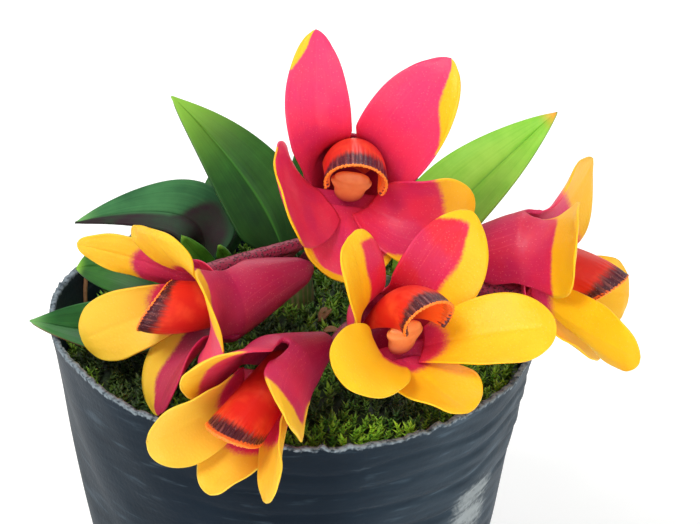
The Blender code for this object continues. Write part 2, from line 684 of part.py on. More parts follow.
def main():
    """Builds the orchid."""
    for leftover in list(bpy.data.objects):
        bpy.data.objects.remove(leftover)
    collection = bpy.data.collections.new("potted_dendrobium_orchid")
    cutters = bpy.data.collections.new("cutters")
    for group in (collection, cutters):
        bpy.context.scene.collection.children.link(group)
    add_pot(collection, cutters)
    add_growing_medium(collection, cutters)
    add_moss(collection, cutters)
    for cane in CANES:
        add_cane(cane, collection)
    for leaf in LEAVES:
        add_leaf(leaf, collection)
    for flower in FLOWERS:
        add_flower(flower, collection)


main()
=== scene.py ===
"""A potted dendrobium orchid: a miniature orchid in flower, in moss, in a soft nursery pot.

Lengths in the classes are millimetres, and MM turns them into metres where a mesh is made.
The front is at -Y.
"""

import json
import logging
import math
from dataclasses import dataclass
from enum import Enum
from functools import partial
from typing import Callable

import bpy
import numpy as np
from mathutils import Matrix

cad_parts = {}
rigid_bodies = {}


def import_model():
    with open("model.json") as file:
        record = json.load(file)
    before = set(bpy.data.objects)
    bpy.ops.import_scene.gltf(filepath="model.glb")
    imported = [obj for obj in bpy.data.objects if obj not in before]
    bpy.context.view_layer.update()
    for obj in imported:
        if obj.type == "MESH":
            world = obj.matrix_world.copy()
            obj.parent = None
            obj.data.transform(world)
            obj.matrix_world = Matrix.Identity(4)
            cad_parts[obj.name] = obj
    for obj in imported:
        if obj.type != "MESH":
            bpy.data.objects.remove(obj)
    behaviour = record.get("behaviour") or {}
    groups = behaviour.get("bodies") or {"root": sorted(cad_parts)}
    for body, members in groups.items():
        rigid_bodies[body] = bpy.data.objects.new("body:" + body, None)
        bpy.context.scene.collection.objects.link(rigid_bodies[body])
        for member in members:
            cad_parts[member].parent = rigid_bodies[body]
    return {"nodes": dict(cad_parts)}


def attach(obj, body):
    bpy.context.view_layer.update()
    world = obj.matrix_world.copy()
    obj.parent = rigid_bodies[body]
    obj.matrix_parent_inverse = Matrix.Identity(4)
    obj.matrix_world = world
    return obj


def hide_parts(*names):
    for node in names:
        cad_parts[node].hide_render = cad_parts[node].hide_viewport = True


MM = 0.001
WELD_MM = 0.01
BLADE_THICKNESS = 0.7
BODY = "root"
UP = np.array([0.0, 0.0, 1.0])
LOG = logging.getLogger("potted_dendrobium")

Points = np.ndarray
Placer = Callable[[np.ndarray, np.ndarray], Points]
Piece = bpy.types.Object
Skin = bpy.types.Material


# Numbers

def linear(hex_colour: str) -> tuple[float, float, float, float]:
    """Turns an sRGB hex colour into linear RGBA.

    Args:
        hex_colour: Six hex digits.

    Returns:
        The linear colour with full alpha.
    """
    parts = [int(hex_colour[i:i + 2], 16) / 255 for i in (0, 2, 4)]
    low = [c / 12.92 if c <= 0.04045 else ((c + 0.055) / 1.055) ** 2.4 for c in parts]
    return low[0], low[1], low[2], 1.0


def scale_for(size: float) -> float:
    """Gives a pattern's scale from the size of its grain in millimetres."""
    return 1 / (size * MM)


def smooth_step(x: np.ndarray, low: float, high: float) -> np.ndarray:
    """Rises smoothly from 0 at low to 1 at high."""
    share = np.clip((x - low) / (high - low), 0.0, 1.0)
    return share * share * (3 - 2 * share)


def smooth_fall(x: np.ndarray, low: float, high: float) -> np.ndarray:
    """Falls smoothly from 1 at low to 0 at high."""
    return 1 - smooth_step(x, low, high)


def flesh_at(s: np.ndarray, t: np.ndarray, side: float, end: float) -> np.ndarray:
    """Gives 1 where a blade is full, down to 0 from a share across to its sides and along to its end."""
    return smooth_fall(np.abs(t), side, 1.0) * smooth_fall(s, end, 1.0)


def squared_off(z: np.ndarray, power: float) -> np.ndarray:
    """Gives how much wider than a ball a blunter body is at heights of -1 to 1, and 0 at the poles."""
    blunt, ball = (np.sqrt(np.clip(1 - np.abs(z) ** n, 0, 1)) for n in (power, 2))
    return np.where(np.abs(z) > 0.999, 0.0, blunt / np.maximum(ball, 1e-6))


def bell(x: np.ndarray, width: float) -> np.ndarray:
    """Peaks at 1 where x is 0 and dies away over a width."""
    return np.exp(-(x / width) ** 2)


def unit(vectors: np.ndarray) -> np.ndarray:
    """Gives a vector, or each row of many, at length 1."""
    return vectors / np.linalg.norm(vectors, axis=-1, keepdims=True)


def drift(points: Points, wavelength: float, seed: float) -> np.ndarray:
    """A smooth pseudo-random value at each point, made of crossed waves.

    Args:
        points: Places in millimetres.
        wavelength: The usual distance between crests.
        seed: Shifts the pattern.

    Returns:
        Values of about -1 to 1.
    """
    k = 2 * math.pi / wavelength
    x, y, z = points[:, 0] * k, points[:, 1] * k, points[:, 2] * k
    first = np.sin(x * 1.0 + 0.7 * y + seed) * np.cos(0.9 * y - 0.6 * z + 1.7 * seed)
    second = np.sin(0.63 * x - 1.21 * y + 0.8 * z + 2.3 * seed) * np.cos(0.57 * z + 1.13 * x - seed)
    return (first + second) / 1.6


# Meshes

def select_only(*pieces: Piece) -> None:
    """Selects these pieces and nothing else, and makes the first the active one.

    Args:
        pieces: The pieces.
    """
    bpy.ops.object.select_all(action="DESELECT")
    for piece in pieces:
        piece.select_set(True)
    bpy.context.view_layer.objects.active = pieces[0]


def add_primitive(operator: Callable, **settings: object) -> Piece:
    """Adds a primitive with nothing else selected.

    Args:
        operator: The operator that adds it.
        settings: What the operator is given.

    Returns:
        The new object.
    """
    bpy.ops.object.select_all(action="DESELECT")
    operator(**settings)
    return bpy.context.active_object


def link_new(name: str, data: bpy.types.ID) -> Piece:
    """Puts new data into the scene as an object.

    Args:
        name: The object's name.
        data: Its mesh, curve, light or camera.

    Returns:
        The new object.
    """
    piece = bpy.data.objects.new(name, data)
    bpy.context.scene.collection.objects.link(piece)
    return piece


def join(pieces: list[Piece]) -> Piece:
    """Joins pieces into the first of them and gives that one back.

    Args:
        pieces: The pieces.

    Returns:
        The first piece.
    """
    select_only(*pieces)
    bpy.ops.object.join()
    return pieces[0]


def apply_modifier(piece: Piece, kind: str, **settings: object) -> None:
    """Adds a modifier and applies it.

    Args:
        piece: The piece.
        kind: The modifier's type.
        settings: Its properties.
    """
    modifier = piece.modifiers.new(kind.lower(), kind)
    for key, value in settings.items():
        setattr(modifier, key, value)
    select_only(piece)
    bpy.ops.object.modifier_apply(modifier=modifier.name)


def edit_whole(piece: Piece, *steps: Callable[[], object]) -> None:
    """Runs steps in edit mode, starting with the whole piece selected.

    Args:
        piece: The piece.
        steps: The operators, in order.
    """
    select_only(piece)
    bpy.ops.object.mode_set(mode="EDIT")
    bpy.ops.mesh.select_all(action="SELECT")
    for step in steps:
        step()
    bpy.ops.object.mode_set(mode="OBJECT")


def weld(piece: Piece) -> None:
    """Merges vertices that lie on each other."""
    edit_whole(piece, partial(bpy.ops.mesh.remove_doubles, threshold=WELD_MM * MM))


def face_outward(piece: Piece) -> None:
    """Turns the faces of a closed piece outwards."""
    edit_whole(piece, partial(bpy.ops.mesh.normals_make_consistent, inside=False))


def read_all(items: bpy.types.bpy_prop_collection, field: str, width: int) -> np.ndarray:
    """Reads one field of every item.

    Args:
        items: A mesh's vertices, normals or stored values.
        field: The field's name.
        width: How many numbers each item has in it.

    Returns:
        A row for each item, or a plain list of numbers where width is 1.
    """
    flat = np.empty(len(items) * width, np.float32)
    items.foreach_get(field, flat)
    return flat.astype(float).reshape((-1, width) if width > 1 else -1)


def vertex_places(piece: Piece) -> Points:
    """Reads the vertices' places in millimetres."""
    return read_all(piece.data.vertices, "co", 3) / MM


def vertex_normals(piece: Piece) -> Points:
    """Reads the vertices' normals."""
    return read_all(piece.data.vertex_normals, "vector", 3)


def read_values(piece: Piece, name: str) -> np.ndarray:
    """Reads one number per vertex."""
    return read_all(piece.data.attributes[name].data, "value", 1)


def move_vertices(piece: Piece, points: Points) -> None:
    """Puts the vertices at these places, given in millimetres."""
    piece.data.vertices.foreach_set("co", (points * MM).ravel())
    piece.data.update()


def store_values(piece: Piece, **values: np.ndarray | float) -> None:
    """Keeps numbers per vertex on the piece, for its material to read.

    Args:
        piece: The piece.
        values: For each name, one number per vertex, or one for them all.
    """
    mesh = piece.data
    for name, numbers in values.items():
        attribute = mesh.attributes.get(name) or mesh.attributes.new(name, "FLOAT", "POINT")
        attribute.data.foreach_set("value", np.broadcast_to(numbers, len(mesh.vertices)).astype(np.float32))


def add_group(piece: Piece, weights: np.ndarray) -> str:
    """Keeps one weight per vertex as a new vertex group.

    Args:
        piece: The piece.
        weights: The weights, 0 to 1.

    Returns:
        The group's name.
    """
    group = piece.vertex_groups.new(name="weights")
    for index, weight in enumerate(weights):
        group.add([index], float(weight), "REPLACE")
    return group.name


def raise_relief(piece: Piece, heights: np.ndarray) -> None:
    """Moves each vertex along its normal by a height in millimetres."""
    move_vertices(piece, vertex_places(piece) + vertex_normals(piece) * heights[:, None])


def add_sheet(rows: int, columns: int, place: Placer) -> tuple[Piece, np.ndarray, np.ndarray]:
    """Adds a grid and lays it out by a formula.

    Args:
        rows: Faces along it.
        columns: Faces across it.
        place: Gives the places in millimetres from the share along, 0 to 1, and the share across, -1 to 1.

    Returns:
        The open sheet and both shares, which it also keeps as its values "along" and "across".
    """
    piece = add_primitive(bpy.ops.mesh.primitive_grid_add, x_subdivisions=columns, y_subdivisions=rows,
                          size=2.0)
    across, length, _ = (vertex_places(piece) * MM).T
    along = length / 2 + 0.5
    move_vertices(piece, place(along, across))
    store_values(piece, along=along, across=across)
    return piece, read_values(piece, "along"), read_values(piece, "across")


def add_ball(segments: int, rings: int) -> tuple[Piece, Points]:
    """Adds a ball to be shaped.

    Args:
        segments: Faces round it.
        rings: Faces from pole to pole.

    Returns:
        The ball, and its vertices' x, y and z in shares of its radius.
    """
    piece = add_primitive(bpy.ops.mesh.primitive_uv_sphere_add, segments=segments, ring_count=rings,
                          radius=1.0)
    return piece, (vertex_places(piece) * MM).T


def add_tube(points: Points, radii: np.ndarray, spline_kind: str, bevel_steps: int) -> Piece:
    """Adds a round stem through points, with closed ends.

    Args:
        points: Places along it in millimetres.
        radii: Its radius at each.
        spline_kind: POLY to pass through the points, or NURBS to ease between them.
        bevel_steps: How finely its roundness is stepped.

    Returns:
        The closed stem.
    """
    data = bpy.data.curves.new("stem", "CURVE")
    data.dimensions = "3D"
    data.bevel_depth = MM
    data.bevel_resolution = bevel_steps
    data.use_fill_caps = True
    spline = data.splines.new(spline_kind)
    spline.points.add(len(points) - 1)
    for point, spot, radius in zip(spline.points, points, radii):
        point.co = (*(spot * MM), 1.0)
        point.radius = radius
    spline.use_endpoint_u = True
    spline.order_u = 4
    select_only(link_new("stem", data))
    bpy.ops.object.convert(target="MESH")
    piece = bpy.context.active_object
    weld(piece)
    return piece


def thicken(piece: Piece, flesh: np.ndarray, thickness: float = BLADE_THICKNESS,
            thinnest: float = 0.35) -> None:
    """Gives an open sheet its thickness, thinner where there is less flesh.

    Args:
        piece: The sheet.
        flesh: For each vertex, 1 for full thickness down to 0 for the thinnest.
        thickness: The full thickness in millimetres.
        thinnest: The share of it that is left at the margins.
    """
    apply_modifier(piece, "SOLIDIFY", thickness=thickness * MM, offset=0.0,
                   vertex_group=add_group(piece, flesh), thickness_vertex_group=thinnest)


def mark_side(piece: Piece, name: str, toward: Points) -> None:
    """Stores 1 on the face of a thickened sheet that looks toward a direction, and 0 on the other.

    Args:
        piece: The thickened sheet, whose second half of vertices is its other face.
        name: The value's name.
        toward: One direction for each vertex of the open sheet.
    """
    points = vertex_places(piece)
    half = len(points) // 2
    facing = np.einsum("ij,ij->i", points[:half] - points[half:], toward[:half]) > 0
    store_values(piece, **{name: np.concatenate([facing, ~facing]).astype(float)})


def finish_piece(piece: Piece, name: str, skin: Skin, slot: str, *nodes: str) -> None:
    """Names and dresses a finished piece, and puts it in place of its nodes.

    Args:
        piece: The modelled object, at the origin.
        name: Its plain name.
        skin: Its material.
        slot: The record's material slot. It is not used.
        nodes: The construction nodes that it stands for.
    """
    piece.name = name
    piece.data.name = name
    piece.data.materials.clear()
    piece.data.materials.append(skin)
    select_only(piece)
    bpy.ops.object.shade_smooth()
    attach(piece, BODY)
    if nodes:
        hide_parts(*nodes)
    LOG.info("%s: %d faces", name, len(piece.data.polygons))


# Materials

MIX = ("ShaderNodeMix", {"data_type": "RGBA"})
SCREEN = ("ShaderNodeMix", {"data_type": "RGBA", "blend_type": "SCREEN"})
SPAN = ("ShaderNodeMapRange", {})
SMOOTH = ("ShaderNodeMapRange", {"interpolation_type": "SMOOTHSTEP"})
TIMES = ("ShaderNodeMath", {"operation": "MULTIPLY"})
TIMES_PLUS = ("ShaderNodeMath", {"operation": "MULTIPLY_ADD"})
NOISE = ("ShaderNodeTexNoise", {})
CELLS = ("ShaderNodeTexVoronoi", {})
STRETCH = ("ShaderNodeMapping", {})
BUMP = ("ShaderNodeBump", {})
RESULT_SOCKETS = {"ShaderNodeMix": 2, "ShaderNodeAttribute": 2}


def connect(node: bpy.types.Node, links: dict) -> None:
    """Feeds a node's inputs.

    Args:
        node: The node.
        links: For each input, another node, one of its outputs, a plain value or an sRGB hex colour.
    """
    for key, value in links.items():
        if isinstance(value, bpy.types.Node):
            value = value.outputs[RESULT_SOCKETS.get(value.bl_idname, 0)]
        if isinstance(value, bpy.types.NodeSocket):
            node.id_data.links.new(value, node.inputs[key])
        else:
            node.inputs[key].default_value = linear(value) if isinstance(value, str) else value


def add_node(tree: bpy.types.NodeTree, kind: str, settings: dict,
             links: dict | None = None) -> bpy.types.Node:
    """Adds one shader node.

    Args:
        tree: The material's node tree.
        kind: The node's type.
        settings: Its properties.
        links: What its inputs are fed with.

    Returns:
        The new node.
    """
    node = tree.nodes.new(kind)
    for key, value in settings.items():
        setattr(node, key, value)
    connect(node, links or {})
    return node


def start_material(name: str, *values: str) -> tuple:
    """Starts a material that holds only its shader and output.

    Args:
        name: What the real material is.
        values: The values per vertex that it reads.

    Returns:
        The material, a function that adds a node to it, the outputs with the places on a piece, and a node
        for each value.
    """
    made = bpy.data.materials.new(name)
    made.use_nodes = True
    add = partial(add_node, made.node_tree)
    place = add("ShaderNodeTexCoord", {}).outputs
    return made, add, place, *(add("ShaderNodeAttribute", {"attribute_name": value}) for value in values)


def finish_material(made: Skin, inputs: dict) -> Skin:
    """Feeds the material's shader and gives the material back."""
    connect(made.node_tree.nodes["Principled BSDF"], inputs)
    return made


@dataclass(frozen=True)
class TepalSkin:
    """The velvety skin of sepals and petals: red over yellow, with painted highlights sparkling on its tiny
    domed cells.
    """

    name: str = "dendrobium_tepal_skin"
    red: str = "F63E68"
    scarlet: str = "DC1E34"
    magenta: str = "C8286A"
    deep_red_and_shade: str = "960E40"
    pale_red: str = "FF6E80"
    yellow: str = "FFC81C"
    deep_yellow: str = "F6AE0E"
    dull_yellow: str = "E8C448"
    painted_sparkle_colour: str = "FF9C8C"
    patch_size: float = 6.667
    veil_size: float = 11.765
    grain_size: float = 0.3846
    cell_size: float = 0.45
    streaks: tuple[float, float, float] = (46.0, 2.2, 1.0)

    def material(self) -> Skin:
        """Builds the material from how red, how deep, how dull and how warm each vertex is, where depth is
        partly the blade's deeper red and partly painted shade.

        The cells and their painted highlights are drawn several times as coarse as real ones, so that they
        show.

        Returns:
            The material.
        """
        made, add, place, redness, depth, dull, warmth = start_material(
            self.name, "redness", "depth", "dull", "warmth")
        cloud, veil, grain = (
            add(*NOISE, {"Vector": place["Object"], "Scale": scale_for(size), "Detail": detail})
            for size, detail in ((self.patch_size, 3.0), (self.veil_size, 2.0), (self.grain_size, 2.0)))
        along = add(*STRETCH, {"Vector": place["UV"], "Scale": self.streaks})
        streak = add(*NOISE, {"Vector": along, "Scale": 1.0, "Detail": 2.0})
        ragged = add(*TIMES_PLUS, {0: grain, 1: 0.36, 2: redness})
        ragged = add(*TIMES_PLUS, {0: streak, 1: 0.22, 2: ragged})
        mask = add(*SMOOTH, {"Value": ragged, "From Min": 0.52, "From Max": 1.06})
        body = add(*MIX, {0: warmth, 6: self.red, 7: self.scarlet})
        patchy = add(*SMOOTH, {"Value": cloud, "From Min": 0.4, "From Max": 0.64, "To Max": 0.5})
        body = add(*MIX, {0: patchy, 6: body, 7: self.magenta})
        pale = add(*SMOOTH, {"Value": veil, "From Min": 0.5, "From Max": 0.7, "To Max": 0.4})
        body = add(*MIX, {0: pale, 6: body, 7: self.pale_red})
        # Deep red from depth: the deeper colour towards a blade's foot, and painted shade on the chin, in the
        # throat cup and over blades that lie in shadow.
        body = add(*MIX, {0: depth, 6: body, 7: self.deep_red_and_shade})
        vein = add(*SPAN, {"Value": streak, "From Min": 0.56, "From Max": 0.74, "To Max": 0.12})
        body = add(*MIX, {0: vein, 6: body, 7: self.pale_red})
        gold = add(*MIX, {0: cloud, 6: self.yellow, 7: self.deep_yellow})
        gold = add(*MIX, {0: dull, 6: gold, 7: self.dull_yellow})
        colour = add(*MIX, {0: mask, 6: gold, 7: body})
        # Painted highlight: a pale pink sparkle screened onto the middle of each cell.
        cells = add(*CELLS, {"Vector": place["Object"], "Scale": scale_for(self.cell_size)})
        painted_highlight = add(*SPAN, {"Value": cells, "From Min": 0.0, "From Max": 0.24, "To Min": 0.34, "To Max": 0.0})
        colour = add(*SCREEN, {0: painted_highlight, 6: colour, 7: self.painted_sparkle_colour})
        bump = add("ShaderNodeBump", {"invert": True},
                   {"Height": cells, "Strength": 0.25, "Distance": 0.0001})
        return finish_material(made, {
            "Base Color": colour, "Normal": bump, "Roughness": 0.46, "Specular IOR Level": 0.3,
            "Subsurface Weight": 0.22, "Subsurface Radius": (1.0, 0.4, 0.2), "Subsurface Scale": 0.0012})


@dataclass(frozen=True)
class LipSkin:
    """The waxy lip: orange-red, a dark toothed band, a thin orange rim, and a lining with a painted glow
    standing in for light through the hood.
    """

    name: str = "dendrobium_lip_skin"
    red: str = "DC2C20"
    orange: str = "FA6436"
    band: str = "4A1826"
    pale_band: str = "8A4A48"
    speck: str = "C9938C"
    rim: str = "F8842E"
    inside: str = "F2702A"
    throat: str = "C43420"
    no_painted_glow: str = "000000"
    blotch_size: float = 3.03
    speck_size: float = 0.3333
    spokes: tuple[float, float, float] = (58.0, 3.0, 1.0)

    def material(self) -> Skin:
        """Builds the material from the rows and columns of the lip's own map.

        Returns:
            The material.
        """
        made, add, place, inner = start_material(self.name, "inside")
        row = add("ShaderNodeSeparateXYZ", {}, {0: place["UV"]}).outputs["Y"]
        fan = add(*STRETCH, {"Vector": place["UV"], "Scale": self.spokes})
        spoke = add(*NOISE, {"Vector": fan, "Scale": 1.0, "Detail": 2.0})
        blotch = add(*NOISE, {"Vector": place["Object"], "Scale": scale_for(self.blotch_size), "Detail": 4.0})
        speck = add(*CELLS, {"Vector": place["Object"], "Scale": scale_for(self.speck_size)})
        reach = add(*TIMES_PLUS, {0: spoke, 1: 0.15, 2: row})
        reach = add(*TIMES_PLUS, {0: blotch, 1: 0.2, 2: reach})
        dark = add(*SMOOTH, {"Value": reach, "From Min": 0.90, "From Max": 1.02})
        edge = add(*TIMES_PLUS, {0: spoke, 1: 0.05, 2: row})
        rim = add(*SMOOTH, {"Value": edge, "From Min": 1.004, "From Max": 1.014})
        glow = add(*SMOOTH, {"Value": blotch, "From Min": 0.4, "From Max": 0.7, "To Max": 0.5})
        top = add(*MIX, {0: glow, 6: self.red, 7: self.orange})
        throat = add(*SMOOTH, {"Value": row, "From Min": 0.15, "From Max": 0.6})
        lining = add(*MIX, {0: throat, 6: self.throat, 7: self.inside})
        colour = add(*MIX, {0: inner, 6: top, 7: lining})
        shade = add(*TIMES_PLUS, {0: inner, 1: -0.75, 2: dark})
        shade = add("ShaderNodeClamp", {}, {0: shade})
        mottle = add(*SMOOTH, {"Value": spoke, "From Min": 0.45, "From Max": 0.72})
        band = add(*MIX, {0: mottle, 6: self.band, 7: self.pale_band})
        colour = add(*MIX, {0: shade, 6: colour, 7: band})
        dots = add(*SPAN, {"Value": speck, "From Min": 0.05, "From Max": 0.28, "To Min": 0.45, "To Max": 0.0})
        dots = add(*TIMES, {0: dots, 1: shade})
        colour = add(*MIX, {0: dots, 6: colour, 7: self.speck})
        colour = add(*MIX, {0: rim, 6: colour, 7: self.rim})
        # Painted glow: the lining emits a little light in its own colour, standing in for light through the
        # hood; the outer side emits none.
        return finish_material(made, {
            "Base Color": colour,
            "Normal": add(*BUMP, {"Height": spoke, "Strength": 0.2, "Distance": 0.00015}),
            "Emission Color": add(*MIX, {0: inner, 6: self.no_painted_glow, 7: lining}), "Emission Strength": 0.15,
            "Roughness": 0.42, "Specular IOR Level": 0.35, "Subsurface Weight": 0.4,
            "Subsurface Radius": (1.0, 0.35, 0.15), "Subsurface Scale": 0.0012})


@dataclass(frozen=True)
class ColumnWax:
    """The column: pale peach wax, deeper red towards its foot."""

    name: str = "dendrobium_column_wax"
    peach: str = "FFAE68"
    apricot: str = "F08A44"
    foot: str = "A8243A"
    cloud_size: float = 0.8333

    def material(self) -> Skin:
        """Builds the material from how near each vertex is to the foot.

        Returns:
            The material.
        """
        made, add, place, foot = start_material(self.name, "foot")
        cloud = add(*NOISE, {"Vector": place["Object"], "Scale": scale_for(self.cloud_size), "Detail": 3.0})
        mixed = add(*MIX, {0: cloud, 6: self.peach, 7: self.apricot})
        colour = add(*MIX, {0: foot, 6: mixed, 7: self.foot})
        return finish_material(made, {"Base Color": colour, "Roughness": 0.45, "Subsurface Weight": 0.4,
                                      "Subsurface Scale": 0.0012})


@dataclass(frozen=True)
class StalkSkin:
    """The flower stalk and ovary: dark crimson, covered in fine warts."""

    name: str = "dendrobium_stalk_skin"
    body: str = "8E2240"
    warts: str = "4A1428"
    wart_size: float = 0.4

    def material(self) -> Skin:
        """Builds the material, with a wart pattern in the object's own space.

        Returns:
            The material.
        """
        made, add, place = start_material(self.name)
        cells = add(*CELLS, {"Vector": place["Object"], "Scale": scale_for(self.wart_size)})
        mask = add(*SMOOTH, {"Value": cells, "From Min": 0.15, "From Max": 0.5, "To Min": 1.0, "To Max": 0.0})
        return finish_material(made, {
            "Base Color": add(*MIX, {0: mask, 6: self.body, 7: self.warts}),
            "Normal": add(*BUMP, {"Height": mask, "Strength": 0.8, "Distance": 0.0002}), "Roughness": 0.5})


@dataclass(frozen=True)
class LeafSkin:
    """A leathery leaf: waxy upper side with fine parallel veins, and its own underside colour."""

    name: str
    upper: str
    light: str
    under: str
    tip: str
    # The midrib line's colour: painted shade in the groove, but a lighter green on the mature leaf.
    crease: str = "0C2A14"
    # The colour painted towards the leaf's foot as shading.
    painted_shading: str = "0C2612"
    roughness: float = 0.38
    cloud_size: float = 6.25
    pore_size: float = 0.3125
    veins: tuple[float, float, float] = (34.0, 1.6, 1.0)

    def material(self) -> Skin:
        """Builds the material from the leaf's own map, from which side a vertex is on, and from its painted
        shading at the foot and along the midrib.

        Returns:
            The material.
        """
        made, add, place, side, tip, rib, foot = start_material(
            self.name, "underside", "tip", "midrib", "foot")
        lines = add(*STRETCH, {"Vector": place["UV"], "Scale": self.veins})
        vein = add(*NOISE, {"Vector": lines, "Scale": 1.0, "Detail": 2.0})
        cloud, pores = (add(*NOISE, {"Vector": place["Object"], "Scale": scale_for(size), "Detail": detail})
                        for size, detail in ((self.cloud_size, 4.0), (self.pore_size, 2.0)))
        tone = add(*TIMES_PLUS, {0: vein, 1: 0.35, 2: cloud})
        tone = add(*SMOOTH, {"Value": tone, "From Min": 0.38, "From Max": 1.02, "To Max": 0.8})
        green = add(*MIX, {0: tone, 6: self.upper, 7: self.light})
        # Painted shading towards the foot, in each kind's own colour: darker on most leaves, a bright green
        # on the young bright leaf.
        green = add(*MIX, {0: foot, 6: green, 7: self.painted_shading})
        # Midrib line: painted shade darkening the midrib's groove, except on the mature leaf, whose midrib is
        # a lighter green.
        green = add(*MIX, {0: rib, 6: green, 7: self.crease})
        green = add(*MIX, {0: tip, 6: green, 7: self.tip})
        green_share = add(*SPAN, {"Value": cloud, "From Min": 0.45, "From Max": 0.8, "To Max": 0.5})
        back = add(*MIX, {0: green_share, 6: self.under, 7: self.upper})
        height = add(*TIMES_PLUS, {0: pores, 1: 0.25, 2: vein})
        gloss = add(*SPAN, {"Value": cloud, "To Min": self.roughness - 0.08, "To Max": self.roughness + 0.14})
        return finish_material(made, {
            "Base Color": add(*MIX, {0: side, 6: green, 7: back}),
            "Normal": add(*BUMP, {"Height": height, "Strength": 0.2, "Distance": 0.00015}),
            "Roughness": gloss, "Specular IOR Level": 0.22, "Subsurface Weight": 0.05,
            "Subsurface Scale": 0.0006})


@dataclass(frozen=True)
class CaneSkin:
    """A cane: olive green, with dry papery sheath in lengthwise streaks."""

    name: str = "dendrobium_cane_skin"
    green: str = "42581F"
    sheath: str = "6E6040"
    fibre_width: float = 0.6667
    fibre_length: float = 6.25

    def material(self) -> Skin:
        """Builds the material, streaked along Z.

        Returns:
            The material.
        """
        made, add, place = start_material(self.name)
        width, length = scale_for(self.fibre_width), scale_for(self.fibre_length)
        stretch = add(*STRETCH, {"Vector": place["Object"], "Scale": (width, width, length)})
        fibre = add(*NOISE, {"Vector": stretch, "Scale": 1.0, "Detail": 3.0})
        mask = add(*SMOOTH, {"Value": fibre, "From Min": 0.45, "From Max": 0.62})
        return finish_material(made, {
            "Base Color": add(*MIX, {0: mask, 6: self.green, 7: self.sheath}),
            "Normal": add(*BUMP, {"Height": fibre, "Strength": 0.5, "Distance": 0.0002}), "Roughness": 0.55})


@dataclass(frozen=True)
class PotPlastic:
    """Vacuum-formed soft polypropylene: slate black, scuffed, with a torn, fibrous, paler rim."""

    name: str = "soft_slate_polypropylene"
    body: str = "14222F"
    shade: str = "0C151E"
    light: str = "465662"
    torn: str = "828E96"
    lime: str = "B4BCBC"
    cloud_size: float = 14.286
    fine_size: float = 0.6667
    scuff_width: float = 8.333
    scuff_height: float = 1.111

    def material(self) -> Skin:
        """Builds the material from how torn and how filmed with lime each vertex is, and from its lighter
        sides, partly wear and partly painted light.

        Returns:
            The material.
        """
        made, add, place, rim, film, worn = start_material(self.name, "rim", "lime", "worn")
        cloud, fine = (add(*NOISE, {"Vector": place["Object"], "Scale": scale_for(size), "Detail": detail})
                       for size, detail in ((self.cloud_size, 5.0), (self.fine_size, 4.0)))
        width, height = scale_for(self.scuff_width), scale_for(self.scuff_height)
        flat = add(*STRETCH, {"Vector": place["Object"], "Scale": (width, width, height)})
        scuff = add(*NOISE, {"Vector": flat, "Scale": 1.0, "Detail": 4.0})
        marks = add(*SMOOTH, {"Value": scuff, "From Min": 0.58, "From Max": 0.74, "To Max": 0.35})
        colour = add(*MIX, {0: cloud, 6: self.body, 7: self.shade})
        # Scuffs everywhere, and lighter sides to the right and left: partly wear, partly painted light on the
        # sides.
        scuff_and_side_light = add("ShaderNodeMath", {"operation": "MULTIPLY_ADD", "use_clamp": True},
                     {0: worn, 1: scuff, 2: marks})
        colour = add(*MIX, {0: scuff_and_side_light, 6: colour, 7: self.light})
        streaky = add(*TIMES_PLUS, {0: fine, 1: 0.5, 2: scuff})
        dusty = add(*TIMES, {0: film, 1: streaky})
        dusty = add(*SMOOTH, {"Value": dusty, "From Min": 0.42, "From Max": 0.82, "To Max": 0.6})
        colour = add(*MIX, {0: dusty, 6: colour, 7: self.lime})
        torn = add(*TIMES_PLUS, {0: fine, 1: 1.4, 2: rim})
        torn = add(*SMOOTH, {"Value": torn, "From Min": 1.35, "From Max": 1.85})
        colour = add(*MIX, {0: torn, 6: colour, 7: self.torn})
        height = add(*TIMES_PLUS, {0: scuff, 1: 0.6, 2: fine})
        return finish_material(made, {
            "Base Color": colour,
            "Normal": add(*BUMP, {"Height": height, "Strength": 0.25, "Distance": 0.00025}),
            "Roughness": add(*SPAN, {"Value": cloud, "To Min": 0.36, "To Max": 0.62}),
            "Specular IOR Level": 0.07})


@dataclass(frozen=True)
class MossGreen:
    """Moss: bright yellow-green at the shoot tips, dark down the shoots and nearly black between them, partly
    older growth and partly painted shade, with more painted shade in random patches.
    """

    name: str = "feather_moss"
    bright: str = "A8DA2E"
    middle: str = "4A8C14"
    dark: str = "0B1706"
    # The colour of painted shade, laid in random patches.
    painted_shading: str = "0E1F07"
    patch_size: float = 16.667

    def material(self) -> Skin:
        """Builds the material from how high up its shoot each vertex is, and from the shoot's own tone.

        Returns:
            The material.
        """
        made, add, place, height, tone = start_material(self.name, "height", "tone")
        patch = add(*NOISE, {"Vector": place["Object"], "Scale": scale_for(self.patch_size), "Detail": 3.0})
        fresh = add(*MIX, {0: tone, 6: self.middle, 7: self.bright})
        # Darker down each shoot: partly older growth, partly painted shade between the shoots.
        deep = add(*SMOOTH, {"Value": height, "From Min": 0.1, "From Max": 0.75})
        colour = add(*MIX, {0: deep, 6: self.dark, 7: fresh})
        # Painted shade in random patches.
        shade = add(*SPAN, {"Value": patch, "From Min": 0.42, "From Max": 0.6, "To Max": 0.9})
        colour = add(*MIX, {0: shade, 6: colour, 7: self.painted_shading})
        return finish_material(made, {"Base Color": colour, "Roughness": 0.6, "Subsurface Weight": 0.05,
                                      "Subsurface Scale": 0.0005})


